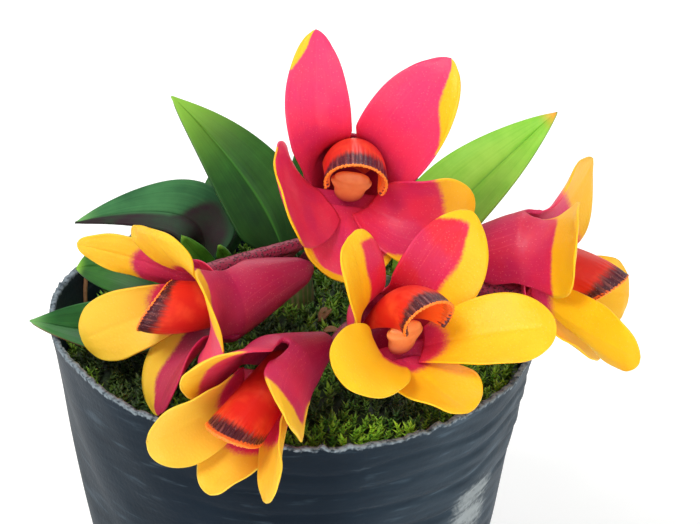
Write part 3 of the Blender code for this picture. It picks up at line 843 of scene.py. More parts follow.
@dataclass(frozen=True)
class BarkMix:
    """Potting mix: chips of composted bark with strands of dead sphagnum."""

    name: str = "bark_and_sphagnum_mix"
    bark: str = "3A2618"
    pale_bark: str = "5A3E28"
    strand: str = "8A7448"
    chip_size: float = 5.0
    strand_size: float = 1.111

    def material(self) -> Skin:
        """Builds the material.

        Returns:
            The material.
        """
        made, add, place = start_material(self.name)
        chips = add(*CELLS, {"Vector": place["Object"], "Scale": scale_for(self.chip_size)})
        fibre = add(*NOISE, {"Vector": place["Object"], "Scale": scale_for(self.strand_size), "Detail": 5.0,
                             "Distortion": 1.5})
        mask = add(*SMOOTH, {"Value": fibre, "From Min": 0.55, "From Max": 0.68})
        chip = add(*MIX, {0: chips, 6: self.pale_bark, 7: self.bark})
        height = add(*TIMES_PLUS, {0: chips, 1: -1.0, 2: fibre})
        return finish_material(made, {
            "Base Color": add(*MIX, {0: mask, 6: chip, 7: self.strand}),
            "Normal": add(*BUMP, {"Height": height, "Strength": 0.9, "Distance": 0.0012}), "Roughness": 0.9})


@dataclass(frozen=True)
class DeadLeaf:
    """Dry dead leaf and old stem: red-brown, paler in streaks."""

    name: str = "dry_dead_leaf"
    brown: str = "6A4426"
    pale: str = "B4845C"
    streak_size: float = 0.7143

    def material(self) -> Skin:
        """Builds the material.

        Returns:
            The material.
        """
        made, add, place = start_material(self.name)
        fibre = add(*NOISE, {"Vector": place["Object"], "Scale": scale_for(self.streak_size), "Detail": 3.0})
        return finish_material(made, {"Base Color": add(*MIX, {0: fibre, 6: self.brown, 7: self.pale}),
                                      "Roughness": 0.75})


@dataclass(frozen=True)
class StudioPaper:
    """The floor: a sheet of pale matte paper, lit a little from below, that keeps the shadow soft."""

    name: str = "pale_matte_paper"
    colour: str = "FBFBFA"

    def material(self) -> Skin:
        """Builds the material."""
        return finish_material(start_material(self.name)[0], {
            "Base Color": self.colour, "Roughness": 0.9, "Emission Color": self.colour,
            "Emission Strength": 0.22})


# Flowers

THROAT_RADIUS = 5.5
CHIN_SHARE = 5 / 14
HALF_LOBE = 50.0
CHIN_TIP_ARC = 162.0
CHIN_TIP_SHARE = 0.18
CHIN_ROUND_SHARE = 0.12
LOBE_BLEND = 0.25
FINE_STEPS = 192
FLATTEST_CURL = 1e-4
TOOTH_WAVES = 61.0
TOOTH_UNEVENNESS = 2.0
TOOTH_GROUPS = 9.0
TOOTH_LEVEL = 0.6
TOOTH_START = 0.93
FOOT_RISE = 0.15
CANE_RING = 2.1
LATERAL_FACES = (84, 22)
TEPAL_FACES = (64, 36)
LIP_FACES = (56, 110)
CUP_FACES = (20, 32)
COLUMN_FACES = (40, 28)
CANE_FACES = (88, 48)
LEAF_FACES = (72, 28)
BIT_FACES = (12, 8)
STALK_STEPS = 40
OVARY_STEPS = 29
STALK_BEVEL = 6
STEM_BEVEL = 4


@dataclass(frozen=True)
class Blade:
    """A sepal, petal or lip in its flower's frame. Angles are in degrees, and clock 0 is the lip's side."""

    clock: float
    turn: float
    opening: tuple[float, float]
    length: float
    half_width: float
    curl: tuple[float, float]
    twist: float = 0.0
    base_half_width: float = 1.3
    widest: float = 0.6
    tip_power: float = 0.5
    start: tuple[float, float] = (1.9, 4.2)
    is_lobe: bool = False
    cut_back: float = 0.0
    bend: float = 1.0

    def half_width_at(self, s: np.ndarray) -> np.ndarray:
        """Gives half the width, measured round the curl, at shares of the length.

        Args:
            s: Shares of the length.

        Returns:
            The half widths in millimetres.
        """
        swell = np.sin(math.pi / 2 * np.clip(s / self.widest, 0, 1))
        rise = self.base_half_width + (self.half_width - self.base_half_width) * swell
        if self.cut_back:
            return rise
        x = np.clip((s - self.widest) / (1 - self.widest), 0, 1)
        return np.where(s < self.widest, rise, self.half_width * (1 - x**2) ** self.tip_power)

    def angles(self, s: np.ndarray) -> tuple[np.ndarray, np.ndarray]:
        """Gives the opening and clock angles in radians at shares of the length."""
        opening = self.opening[0] + (self.opening[1] - self.opening[0]) * s**self.bend
        return np.radians(opening), np.radians(self.clock + self.turn * s * (2 - s))


@dataclass(frozen=True)
class Flower:
    """A flower's place and stance, and its blades. Its chin is (length, lift, shift across, extra depth)."""

    name: str
    throat: tuple[float, float, float]
    azimuth: float
    elevation: float
    roll: float
    chin: tuple[float, float, float, float]
    cane: str
    foot_angle: float
    lateral_left: Blade
    lateral_right: Blade
    petal_left: Blade
    petal_right: Blade
    dorsal: Blade
    lip: Blade

    def frame(self) -> tuple[Points, Points, Points]:
        """Gives the flower's facing, its lip's side, and the direction across.

        Returns:
            The three unit directions.
        """
        azimuth, elevation, roll = np.radians([self.azimuth, self.elevation, self.roll])
        face = np.array([np.cos(elevation) * np.sin(azimuth), -np.cos(elevation) * np.cos(azimuth),
                         np.sin(elevation)])
        up = unit(UP - face[2] * face)
        lip_side = np.cos(roll) * up + np.sin(roll) * np.cross(up, face)
        return face, lip_side, np.cross(lip_side, face)

    def radial(self, clock: np.ndarray) -> Points:
        """Gives unit directions out from the axis at clock angles in radians."""
        _, lip_side, across = self.frame()
        return np.cos(clock)[:, None] * lip_side + np.sin(clock)[:, None] * across

    def throat_radius(self, clock: np.ndarray) -> np.ndarray:
        """Gives how far the throat's edge is from the axis, deeper on the lip's side."""
        return THROAT_RADIUS * (1 + self.chin[3] * np.clip(np.cos(clock), 0, 1) ** 2)

    def blade_points(self, blade: Blade, j: np.ndarray, t: np.ndarray, fringe: float = 0.0) -> Points:
        """Lays out the middle surface of a blade.

        Args:
            blade: The blade.
            j: Shares along its rows, 0 to 1.
            t: Shares across it, -1 to 1.
            fringe: How far fine teeth at its far edge reach, as a share of its length.

        Returns:
            The places in millimetres.
        """
        face, lip_side, across = self.frame()
        throat = np.array(self.throat)
        fine = np.linspace(0, 1, FINE_STEPS + 1)
        opening, clock = blade.angles((fine[1:] + fine[:-1]) / 2)
        steps = np.cos(opening)[:, None] * face + np.sin(opening)[:, None] * self.radial(clock)
        root = self.radial(np.radians([blade.clock]))[0]
        first = throat + face * blade.start[0] + root * blade.start[1]
        middle = first + np.vstack([np.zeros(3), np.cumsum(steps, axis=0)]) * blade.length / FINE_STEPS

        s = (0.5 * j + 0.5 * np.sin(math.pi / 2 * j)) * (1 - blade.cut_back * t**2)
        teeth = np.abs(np.sin(TOOTH_WAVES * t + TOOTH_UNEVENNESS * np.sin(TOOTH_GROUPS * t))) - TOOTH_LEVEL
        s = np.clip(s + fringe * teeth * smooth_step(j, TOOTH_START, 1.0), 0, 1)
        spot = np.stack([np.interp(s, fine, middle[:, axis]) for axis in range(3)], axis=1)
        opening, clock = blade.angles(s)
        side = -np.sin(clock)[:, None] * lip_side + np.cos(clock)[:, None] * across
        inward = np.sin(opening)[:, None] * face - np.cos(opening)[:, None] * self.radial(clock)
        twist = np.radians(blade.twist * s)[:, None]
        side, inward = (np.cos(twist) * side + np.sin(twist) * inward,
                        np.cos(twist) * inward - np.sin(twist) * side)
        curl = blade.curl[0] + (blade.curl[1] - blade.curl[0]) * s
        curl = np.where(np.abs(curl) < FLATTEST_CURL, FLATTEST_CURL, curl)
        reach = curl * t * blade.half_width_at(s)
        spot = spot + side * (np.sin(reach) / curl)[:, None] + inward * ((1 - np.cos(reach)) / curl)[:, None]
        if not blade.is_lobe:
            return spot
        ring_clock = np.radians(blade.clock + t * HALF_LOBE)
        ring = throat + self.radial(ring_clock) * self.throat_radius(ring_clock)[:, None]
        share = smooth_step(s, 0, LOBE_BLEND)[:, None]
        return ring * (1 - share) + spot * share

    def chin_points(self, side: int, u: np.ndarray, t: np.ndarray) -> Points:
        """Lays out one side of the chin.

        Args:
            side: -1 for the left, 1 for the right.
            u: Shares from the closed tip, 0, to the throat, 1.
            t: Shares across, -1 to 1.

        Returns:
            The places in millimetres.
        """
        face, lip_side, across = self.frame()
        length, lift, shift, _ = self.chin
        centre = np.array(self.throat) + np.outer(1 - u, lip_side * lift + across * shift - face * length)
        arc = CHIN_TIP_ARC + (2 * HALF_LOBE - CHIN_TIP_ARC) * u
        clock = np.radians(side * arc * (1 + side * t) / 2)
        radius = self.throat_radius(clock) * (CHIN_TIP_SHARE + (1 - CHIN_TIP_SHARE) * u)
        radius = radius * np.sqrt(np.clip(u / CHIN_ROUND_SHARE, 0, 1))
        return centre + self.radial(clock) * radius[:, None]


def lateral(side: int, turn: float, opening: tuple[float, float], length: float, half_width: float,
            curl: tuple[float, float], twist: float = 0.0, tip_power: float = 0.7) -> Blade:
    """Makes a lateral sepal, side -1 on the left as the flower looks at the viewer."""
    return Blade(side * HALF_LOBE, turn, opening, length, half_width, curl, twist, base_half_width=4.8,
                 widest=0.45, tip_power=tip_power, start=(0.0, THROAT_RADIUS), is_lobe=True)


def petal(side: int, turn: float, opening: tuple[float, float], length: float, half_width: float,
          curl: tuple[float, float] = (0.12, 0.04), twist: float = 0.0, root: float = 122.0,
          tip_power: float = 0.5) -> Blade:
    """Makes a petal, rooted at a clock angle of the throat."""
    return Blade(side * root, turn, opening, length, half_width, curl, twist, base_half_width=3.1,
                 tip_power=tip_power)


def dorsal(opening: tuple[float, float], length: float, half_width: float,
           curl: tuple[float, float] = (0.12, 0.04), turn: float = 0.0, twist: float = 0.0) -> Blade:
    """Makes the dorsal sepal, opposite the lip."""
    return Blade(180.0, turn, opening, length, half_width, curl, twist, base_half_width=3.4, widest=0.55,
                 tip_power=0.55, start=(0.6, 2.8))


def lip(opening: tuple[float, float], length: float, half_width: float, curl: tuple[float, float],
        root: float, cut_back: float, bend: float = 2.0, reach: float = -4.0) -> Blade:
    """Makes the lip, a hood rooted inside the throat and cut back along its sides."""
    return Blade(0.0, 0.0, opening, length, half_width, curl, base_half_width=3.1, widest=0.9,
                 start=(reach, root), cut_back=cut_back, bend=bend)


FLOWERS = (
    Flower("flower_a", (8.0, -3.8, 85.9), 10.0, 44.0, 11.0, (14.0, 1.5, 0.0, 0.7), "cane_1", -60.0,
           lateral(-1, 43.5, (11.5, 73.6), 23.7, 5.1, (0.16, 0.07), -1.2),
           lateral(1, -26.4, (10.0, 69.9), 23.6, 7.2, (0.16, 0.09), 19.0),
           petal(-1, 55.0, (46.4, 20.0), 17.6, 8.2, (-0.03, 0.03), -30.0, 134.5, 0.8),
           petal(1, -63.4, (59.1, 104.2), 16.7, 8.1, (0.26, -0.01), -63.3, 132.1),
           dorsal((72.8, 90.9), 12.2, 7.3, (0.02, 0.10), -0.4, 15.0),
           lip((16.9, -62.6), 22.1, 8.2, (0.25, 0.24), 5.4, 0.08, 1.15)),
    Flower("flower_b", (14.9, -25.4, 72.1), 37.0, 51.0, 5.0, (9.0, 1.5, 0.0, 0.7), "cane_5", 90.0,
           lateral(-1, 18.2, (14.2, 47.4), 18.9, 5.2, (0.16, 0.05), -2.3, 0.3),
           lateral(1, -8.1, (16.2, 66.2), 18.8, 6.5, (0.15, 0.04), -0.2),
           petal(-1, 21.6, (32.9, 78.1), 18.9, 5.9, (0.20, 0.01), 1.1),
           petal(1, -10.5, (29.5, 66.7), 19.9, 5.8, (0.19, 0.02), -1.7),
           dorsal((55.7, 60.7), 14.6, 7.0, (-0.01, 0.09), -11.6, 14.2),
           lip((7.5, -69.9), 19.9, 7.7, (0.37, 0.27), 5.1, 0.05, 1.9, -2.7)),
    Flower("flower_c", (34.9, -4.6, 73.8), 74.0, 4.0, 9.0, (12.5, 1.6, 0.3, 0.7), "cane_2", -20.0,
           lateral(-1, -11.9, (26.6, 76.0), 18.1, 7.4, (0.14, 0.01), -3.8),
           lateral(1, -6.0, (54.0, 77.8), 16.5, 7.7, (0.12, 0.02), 5.3, 0.95),
           petal(-1, 21.4, (36.2, 34.5), 23.0, 4.9, (0.25, 0.00), 0.3),
           petal(1, -8.7, (25.9, 67.3), 16.6, 5.3, (0.28, 0.01), 1.2),
           dorsal((49.5, 36.8), 15.1, 6.1, (-0.04, 0.13), -2.8, 0.9),
           lip((-3.0, -38.5), 20.3, 8.3, (0.30, 0.30), 4.9, 0.17, 2.1)),
    Flower("flower_d", (-11.4, -14.3, 73.3), -51.0, 1.0, 119.0, (16.9, 1.2, -1.6, 0.4), "cane_1", 230.0,
           lateral(-1, 24.2, (23.2, 76.2), 19.2, 7.2, (0.15, 0.03), 0.1),
           lateral(1, -23.5, (13.4, 54.9), 16.4, 7.3, (0.16, 0.04), -2.3),
           petal(-1, 11.0, (30.7, 63.3), 14.5, 5.9, (0.18, -0.08), -20.9),
           petal(1, -8.4, (25.2, 68.2), 17.7, 5.2, (0.20, 0.04), 4.7),
           dorsal((52.1, 38.8), 18.9, 3.8, (-0.08, 0.05), -10.2, 1.8),
           lip((0.9, -42.8), 18.1, 9.0, (0.30, 0.27), 4.0, 0.32, 2.3)),
    Flower("flower_e", (-1.6, -31.4, 69.7), -21.0, -1.0, 16.0, (12.2, 1.0, 3.0, 0.25), "cane_5", 200.0,
           lateral(-1, -21.3, (9.8, 22.1), 17.2, 6.7, (0.15, 0.06), -2.2),
           lateral(1, -9.0, (9.4, 22.7), 18.6, 5.9, (0.17, 0.06), 0.4),
           petal(-1, 26.0, (10.2, 24.0), 20.3, 6.1, (0.20, 0.10), -8.9),
           petal(1, -50.4, (15.6, 21.3), 20.6, 4.4, (0.28, 0.03), 24.7),
           dorsal((41.0, 12.3), 18.0, 4.9, (-0.25, 0.29), -2.2, -14.7),
           lip((-0.9, -8.7), 22.8, 6.4, (0.36, 0.25), 1.8, 0.32, 2.1)),
)


@dataclass(frozen=True)
class Tint:
    """Where a sepal or petal is red and where yellow, in shares of its length and of its half width."""

    red_to: float = 0.4
    soft: float = 0.14
    low_margin: tuple[float, float] = (0.0, 0.0)
    high_margin: tuple[float, float] = (0.0, 0.0)
    depth: float = 0.3
    dull: float = 0.0
    warmth: float = 0.3
    # Painted shade: darkens the whole blade, on flowers and blades that lie in shadow.
    shade: float = 0.0

    def redness(self, s: np.ndarray, t: np.ndarray) -> np.ndarray:
        """Gives 1 where the blade is red, down to 0 where it is yellow.

        Args:
            s: Shares of the length.
            t: Shares across, -1 to 1.

        Returns:
            The redness.
        """
        red = smooth_fall(s + 0.10 * t**2, self.red_to - self.soft, self.red_to + self.soft)
        for side, (width, start) in ((-1, self.low_margin), (1, self.high_margin)):
            if width:
                reach = width * smooth_step(s, start - 0.12, start + 0.12)
                edge = 1 - reach + 0.04 * np.sin(15.0 * s)
                red = red * (1 - smooth_step(side * t, edge - 0.18, edge + 0.2) * (reach > 0.02))
        return red


TINTS: dict[str, dict[str, Tint]] = {
    "flower_a": {
        "lateral_left": Tint(1.2, low_margin=(0.5, 0.74), warmth=0.12),
        "lateral_right": Tint(1.2, high_margin=(0.62, 0.52), warmth=0.12),
        "petal_left": Tint(0.99, 0.03, low_margin=(0.12, 0.5), high_margin=(0.08, 0.8), depth=0.1),
        "petal_right": Tint(0.62, 0.1, high_margin=(0.55, 0.34), depth=0.2, warmth=0.5),
        "dorsal": Tint(0.88, 0.06, low_margin=(0.22, 0.45), high_margin=(0.22, 0.45), depth=0.3),
    },
    "flower_b": {
        "lateral_left": Tint(0.84, 0.09, low_margin=(1.35, 0.1), warmth=0.9),
        "lateral_right": Tint(0.84, 0.09, high_margin=(0.75, 0.12), warmth=1.0),
        "petal_left": Tint(0.16, 0.12),
        "petal_right": Tint(0.16, 0.12),
        "dorsal": Tint(0.2, 0.12, depth=0.6),
    },
    "flower_c": {
        "lateral_left": Tint(0.34, 0.06, high_margin=(0.3, 0.2), warmth=0.7),
        "lateral_right": Tint(0.4, 0.12, warmth=0.1),
        "petal_left": Tint(0.16, 0.1),
        "petal_right": Tint(0.12, 0.08),
        "dorsal": Tint(0.14, 0.1),
    },
    "flower_d": {
        "lateral_left": Tint(1.2, low_margin=(0.5, 0.3), warmth=0.1, depth=0.45, shade=0.12),
        "lateral_right": Tint(1.1, high_margin=(0.5, 0.1), dull=0.5, warmth=0.0, depth=0.4, shade=0.55),
        "petal_left": Tint(0.2, 0.1, dull=0.15, warmth=0.0, depth=0.7),
        "petal_right": Tint(0.26, 0.12, dull=0.5, warmth=0.0, depth=0.5),
        "dorsal": Tint(0.46, 0.09, dull=0.2, warmth=0.0, depth=0.6, shade=0.25),
    },
    "flower_e": {
        "lateral_left": Tint(0.62, 0.12, dull=0.5, warmth=0.2, shade=0.25),
        "lateral_right": Tint(0.62, 0.1, high_margin=(0.5, 0.1), dull=0.3, warmth=0.2, shade=0.45),
        "petal_left": Tint(0.26, 0.12, dull=0.7),
        "petal_right": Tint(0.3, 0.12, dull=0.5),
        "dorsal": Tint(0.46, 0.1, dull=0.6),
    },
}


@dataclass
class Bloom:
    """One flower's seven pieces, and the cup in its throat. A notch is (depth, place, width).

    The ovary's ends are given as how far along the flower's facing and how far off the lip's side they are.
    """

    flower: Flower
    tepal: Skin
    lip_wax: Skin
    column_wax: Skin
    stalk: Skin
    edge_wave: float = 0.14
    edge_waves: float = 17.0
    groove: float = 0.10
    groove_width: float = 0.09
    tooth_reach: float = 0.012
    rim_roll: float = 0.30
    rim_pleats: float = 0.05
    pleat_waves: float = 75.0
    cup_radii: tuple[float, float] = (0.6, 6.0)
    cup_half_arc: float = 84.0
    cup_thickness: float = 0.5
    cup_bowl: float = 0.05
    cup_drop: float = 0.35
    hood_centre: float = 5.0
    column_start: float = 0.6
    column_drop: float = 0.5
    column_length: float = 5.6
    column_half_width: float = 2.3
    column_half_depth: float = 1.2
    column_lean: float = 0.45
    column_notch: tuple[float, float, float] = (0.16, 0.55, 0.06)
    column_hollow: float = 0.3
    column_wings: float = 0.38
    stalk_radii: tuple[float, float] = (0.8, 0.9)
    stalk_ways: tuple[float, float] = (0.9, 0.6)
    ovary_top: tuple[float, float] = (0.1, 3.9)
    ovary_end: tuple[float, float] = (1.0, 3.0)
    ovary_swell: float = 0.6
    wart_height: float = 0.06

    def finish(self, piece: Piece, part: str, layer: str, skin: Skin, slot: str) -> None:
        """Finishes a piece of the flower in place of the node of its part.

        Args:
            piece: The modelled object.
            part: The part's name.
            layer: What the piece shows, skin or wax.
            skin: Its material.
            slot: The record's material slot.
        """
        node = f"{self.flower.name}_{part}"
        finish_piece(piece, f"{node}_{layer}", skin, slot, node)

    def relief(self, s: np.ndarray, t: np.ndarray, seed: float) -> np.ndarray:
        """Gives the heights of a tepal's middle groove and of its gently waved margins.

        Args:
            s: Shares of the length.
            t: Shares across, -1 to 1.
            seed: Shifts the waves.

        Returns:
            The heights in millimetres.
        """
        middle = -self.groove * bell(t, self.groove_width) * smooth_fall(s, 0.75, 0.95)
        margin = self.edge_wave * np.abs(t) ** 3 * np.sin(self.edge_waves * s + seed + 1.3 * t)
        return middle + margin * smooth_step(s, 0.2, 0.5) * smooth_fall(s, 0.9, 1.0)

    def add_lateral_sepals(self) -> None:
        """Adds both lateral sepals and the hollow chin that they form together behind the throat."""
        flower = self.flower
        halves = []
        for side, blade, part in ((-1, flower.lateral_left, "lateral_left"),
                                  (1, flower.lateral_right, "lateral_right")):
            def place(along: np.ndarray, across: np.ndarray) -> Points:
                """Lays out the chin, then the lobe.

                Args:
                    along: Shares along, 0 to 1.
                    across: Shares across, -1 to 1.

                Returns:
                    The places in millimetres.
                """
                chin = flower.chin_points(side, np.clip(along / CHIN_SHARE, 0, 1), across)
                on_lobe = np.clip((along - CHIN_SHARE) / (1 - CHIN_SHARE), 0, 1)
                lobe = flower.blade_points(blade, on_lobe, across)
                return np.where((along < CHIN_SHARE + 1e-6)[:, None], chin, lobe)

            half, along, t = add_sheet(*LATERAL_FACES, place)
            s = (along - CHIN_SHARE) / (1 - CHIN_SHARE)
            on_lobe = np.clip(s, 0, 1)
            tint = TINTS[flower.name][part]
            raise_relief(half, self.relief(on_lobe, t, 2.4 * side) * (s > 0.1) * (np.abs(t) < 0.999))
            lobe_depth = (tint.depth + 0.2) * smooth_fall(s, 0.0, 0.4)
            flesh = flesh_at(s, t, 0.6, 0.8)
            # On the chin, depth deepens towards the closed tip as painted shade; on the lobes it is their
            # deeper colour towards the foot.
            store_values(half, redness=np.where(s < 0, 1.0, tint.redness(on_lobe, t)),
                         depth=tint.shade + np.where(s < 0, 0.5 - 0.6 * s, lobe_depth),
                         dull=tint.dull, warmth=tint.warmth, flesh=np.where(s < 0.12, 1.0, flesh))
            halves.append(half)
        piece = join(halves)
        weld(piece)
        self.ease_seam(piece)
        thicken(piece, read_values(piece, "flesh"))
        self.finish(piece, "lateral_sepals", "skin", self.tepal, "sepal_pink")

    def ease_seam(self, piece: Piece) -> None:
        """Smooths the line where the chin runs out into the lobes.

        Args:
            piece: The joined sheet.
        """
        beyond = read_values(piece, "along") - CHIN_SHARE
        weights = smooth_step(beyond, -0.12, -0.02) * smooth_fall(beyond, 0.06, 0.16)
        apply_modifier(piece, "SMOOTH", factor=0.5, iterations=40, vertex_group=add_group(piece, weights))

    def add_blades(self) -> None:
        """Adds the two petals and the dorsal sepal."""
        flower = self.flower
        for part, blade, key in (("petal_left", flower.petal_left, "petal_left"),
                                 ("petal_right", flower.petal_right, "petal_right"),
                                 ("dorsal_sepal", flower.dorsal, "dorsal")):
            piece, s, t = add_sheet(*TEPAL_FACES, partial(flower.blade_points, blade))
            tint = TINTS[flower.name][key]
            raise_relief(piece, self.relief(s, t, 2.4 * (ord(flower.name[-1]) + len(part))))
            # Depth: the blade's deeper colour towards its foot, plus its painted shade.
            store_values(piece, redness=tint.redness(s, t), dull=tint.dull, warmth=tint.warmth,
                         depth=tint.shade + tint.depth * smooth_fall(s, 0.0, 0.7))
            thicken(piece, flesh_at(s, t, 0.5, 0.8))
            self.finish(piece, part, "skin", self.tepal, "petal_yellow")

    def add_lip(self) -> None:
        """Adds the lip, with its toothed rim rolled slightly outwards."""
        flower = self.flower
        piece, s, t = add_sheet(*LIP_FACES, partial(flower.blade_points, flower.lip, fringe=self.tooth_reach))
        toward = np.array(flower.throat) + flower.frame()[0] * self.hood_centre - vertex_places(piece)
        outward = -np.sign(np.einsum("ij,ij->i", vertex_normals(piece), toward))
        pleats = self.rim_pleats * np.sin(self.pleat_waves * t) * smooth_step(s, 0.6, 0.8)
        raise_relief(piece, outward * (self.rim_roll * smooth_step(s, 0.92, 1.0) + pleats))
        thicken(piece, 1 - 0.8 * smooth_step(s, 0.9, 1.0))
        mark_side(piece, "inside", toward)
        self.finish(piece, "lip", "skin", self.lip_wax, "lip_red")

    def add_cup(self) -> None:
        """Adds the shallow cup that closes the throat between the feet of the petals and the dorsal sepal."""
        flower = self.flower
        inner, outer = self.cup_radii
        face = flower.frame()[0]

        def place(j: np.ndarray, t: np.ndarray) -> Points:
            """Lays out the cup from its hole to its edge.

            Args:
                j: Shares along, 0 to 1.
                t: Shares across, -1 to 1.

            Returns:
                The places in millimetres.
            """
            radius = inner + (outer - inner) * j * (1 - 0.12 * t**2)
            out = flower.radial(np.radians(180.0 + self.cup_half_arc * t)) * radius[:, None]
            return np.array(flower.throat) + out + np.outer(self.cup_bowl * radius**2 - self.cup_drop, face)

        piece, s, t = add_sheet(*CUP_FACES, place)
        # Painted shade: the cup darkens towards the hole in the throat.
        store_values(piece, redness=1.0, depth=0.75 - 0.4 * s, warmth=0.2)
        thicken(piece, smooth_fall(np.maximum(s, np.abs(t)), 0.7, 1.0), self.cup_thickness)
        finish_piece(piece, f"{flower.name}_throat_cup", self.tepal, "sepal_pink")

    def add_column(self) -> None:
        """Adds the column, a stub under the hood with a cap over a notch at its end."""
        face, lip_side, across = self.flower.frame()
        half_length = self.column_length / 2
        middle = (np.array(self.flower.throat) + face * (self.column_start + half_length)
                  - lip_side * self.column_drop)
        piece, (x, y, z) = add_ball(*COLUMN_FACES)
        depth, spot, width = self.column_notch
        swell = squared_off(z, 3) * (1 - depth * bell(z - spot, width))
        hollow = 1 - self.column_hollow * bell(x, 0.5) * (y > 0) * smooth_step(z, -0.4, 0.2)
        wings = 1 + self.column_wings * smooth_step(z, -0.2, 0.5)
        move_vertices(piece, middle + np.outer(x * swell * wings * self.column_half_width, across)
                      + np.outer(y * swell * self.column_half_depth * hollow, lip_side)
                      + np.outer(z * half_length, unit(face + lip_side * self.column_lean)))
        store_values(piece, foot=smooth_fall(z, -0.9, 0.1))
        face_outward(piece)
        self.finish(piece, "column", "wax", self.column_wax, "column_peach")

    def add_pedicel(self) -> None:
        """Adds the stalk, rising from its cane and swelling into the warty ovary beside the chin."""
        flower = self.flower
        face, lip_side, across = flower.frame()
        length, _, shift, _ = flower.chin
        rise, drop = self.ovary_top
        ovary_top = np.array(flower.throat) + face * rise - lip_side * drop
        behind, below = self.ovary_end
        ovary_end = np.array(flower.throat) - face * (length + behind) - lip_side * below + across * shift
        foot = foot_point(flower.cane, flower.foot_angle)
        span = np.linalg.norm(ovary_end - foot)
        up, on = self.stalk_ways
        stalk = curve_through(foot, UP * up * span, ovary_end, face * on * span, STALK_STEPS)
        ovary = ovary_end + np.outer(np.linspace(0, 1, OVARY_STEPS + 1)[1:], ovary_top - ovary_end)
        thin, thick = self.stalk_radii
        swell = thick + self.ovary_swell * np.sin(np.linspace(0.06, 1, len(ovary)) * math.pi / 2)
        radii = np.concatenate([np.linspace(thin, thick, len(stalk)), swell])
        piece = add_tube(np.vstack([stalk, ovary]), radii, "POLY", STALK_BEVEL)
        raise_relief(piece, self.wart_height * drift(vertex_places(piece), 0.9, 1.0))
        self.finish(piece, "pedicel", "skin", self.stalk, "stalk_skin")

    def build(self) -> None:
        """Builds the whole flower."""
        self.add_pedicel()
        self.add_lateral_sepals()
        self.add_blades()
        self.add_lip()
        self.add_cup()
        self.add_column()


# Canes and leaves

@dataclass(frozen=True)
class Cane:
    """A short swollen stem that stands in the medium."""

    name: str
    place: tuple[float, float]
    top: float
    foot: float = 44.0
    radius: float = 3.0
    ribs: int = 11
    rib_height: float = 0.025
    ring_depth: float = 0.05
    rings: float = 3.1

    def build(self, skin: Skin) -> None:
        """Builds the cane, ribbed lengthwise and ringed at its joints.

        Args:
            skin: Its material.
        """
        half = (self.top - self.foot) / 2
        piece, (x, y, z) = add_ball(*CANE_FACES)
        ring = self.ring_depth * bell(np.mod(z * self.rings + 0.4, 1) - 0.5, 0.06)
        ribs = 1 + self.rib_height * np.cos(self.ribs * np.arctan2(y, x)) - ring
        swell = squared_off(z, 6) * self.radius * ribs
        move_vertices(piece, np.stack([self.place[0] + x * swell, self.place[1] + y * swell,
                                       self.foot + half * (1 + z)], axis=1))
        finish_piece(piece, f"{self.name}_skin", skin, "cane_skin", self.name)


CANES = (
    Cane("cane_1", (0.0, 9.0), 67.0),
    Cane("cane_2", (14.0, 6.0), 66.5),
    Cane("cane_3", (-12.0, 11.0), 65.0),
    Cane("cane_4", (-14.0, -4.0), 63.0),
    Cane("cane_5", (11.0, -6.0), 63.0),
)


def foot_point(cane_name: str, angle: float) -> Points:
    """Finds where a leaf or a flower stalk starts, just above a cane's top.

    Args:
        cane_name: The cane.
        angle: Where on the top, in degrees from +X.

    Returns:
        The place in millimetres.
    """
    cane = next(cane for cane in CANES if cane.name == cane_name)
    turn = math.radians(angle)
    return np.array([cane.place[0] + CANE_RING * math.cos(turn), cane.place[1] + CANE_RING * math.sin(turn),
                     cane.top + FOOT_RISE])


def curve_through(start: Points, start_way: Points, end: Points, end_way: Points, steps: int) -> Points:
    """Gives points of one smooth curve that leaves start and reaches end with these directions."""
    u = np.linspace(0, 1, steps + 1)[:, None]
    return ((2 * u**3 - 3 * u**2 + 1) * start + (u**3 - 2 * u**2 + u) * start_way
            + (3 * u**2 - 2 * u**3) * end + (u**3 - u**2) * end_way)


class LeafKind(Enum):
    """How a leaf is coloured."""

    DARK = LeafSkin("mature_orchid_leaf", "1A4619", "3C7C2A", "28502A", "86BC3E", "468A34")
    BRIGHT = LeafSkin("young_orchid_leaf", "7CC636", "AEE45A", "74B444", "F0A83C", "5CA42C", "8CD040")
    PURPLE_BACK = LeafSkin("purple_backed_orchid_leaf", "1E5430", "4A8A50", "26121A", "6FA860",
                           roughness=0.62)
    BROWN_BACK = LeafSkin("brown_backed_orchid_leaf", "174A22", "3A7E38", "7A4A3C", "6FA860")
    SPROUT = LeafSkin("orchid_sprout_leaf", "3C7C1E", "6CAC38", "3C7C1E", "8CC048", "2A5C16", "2A5C16")


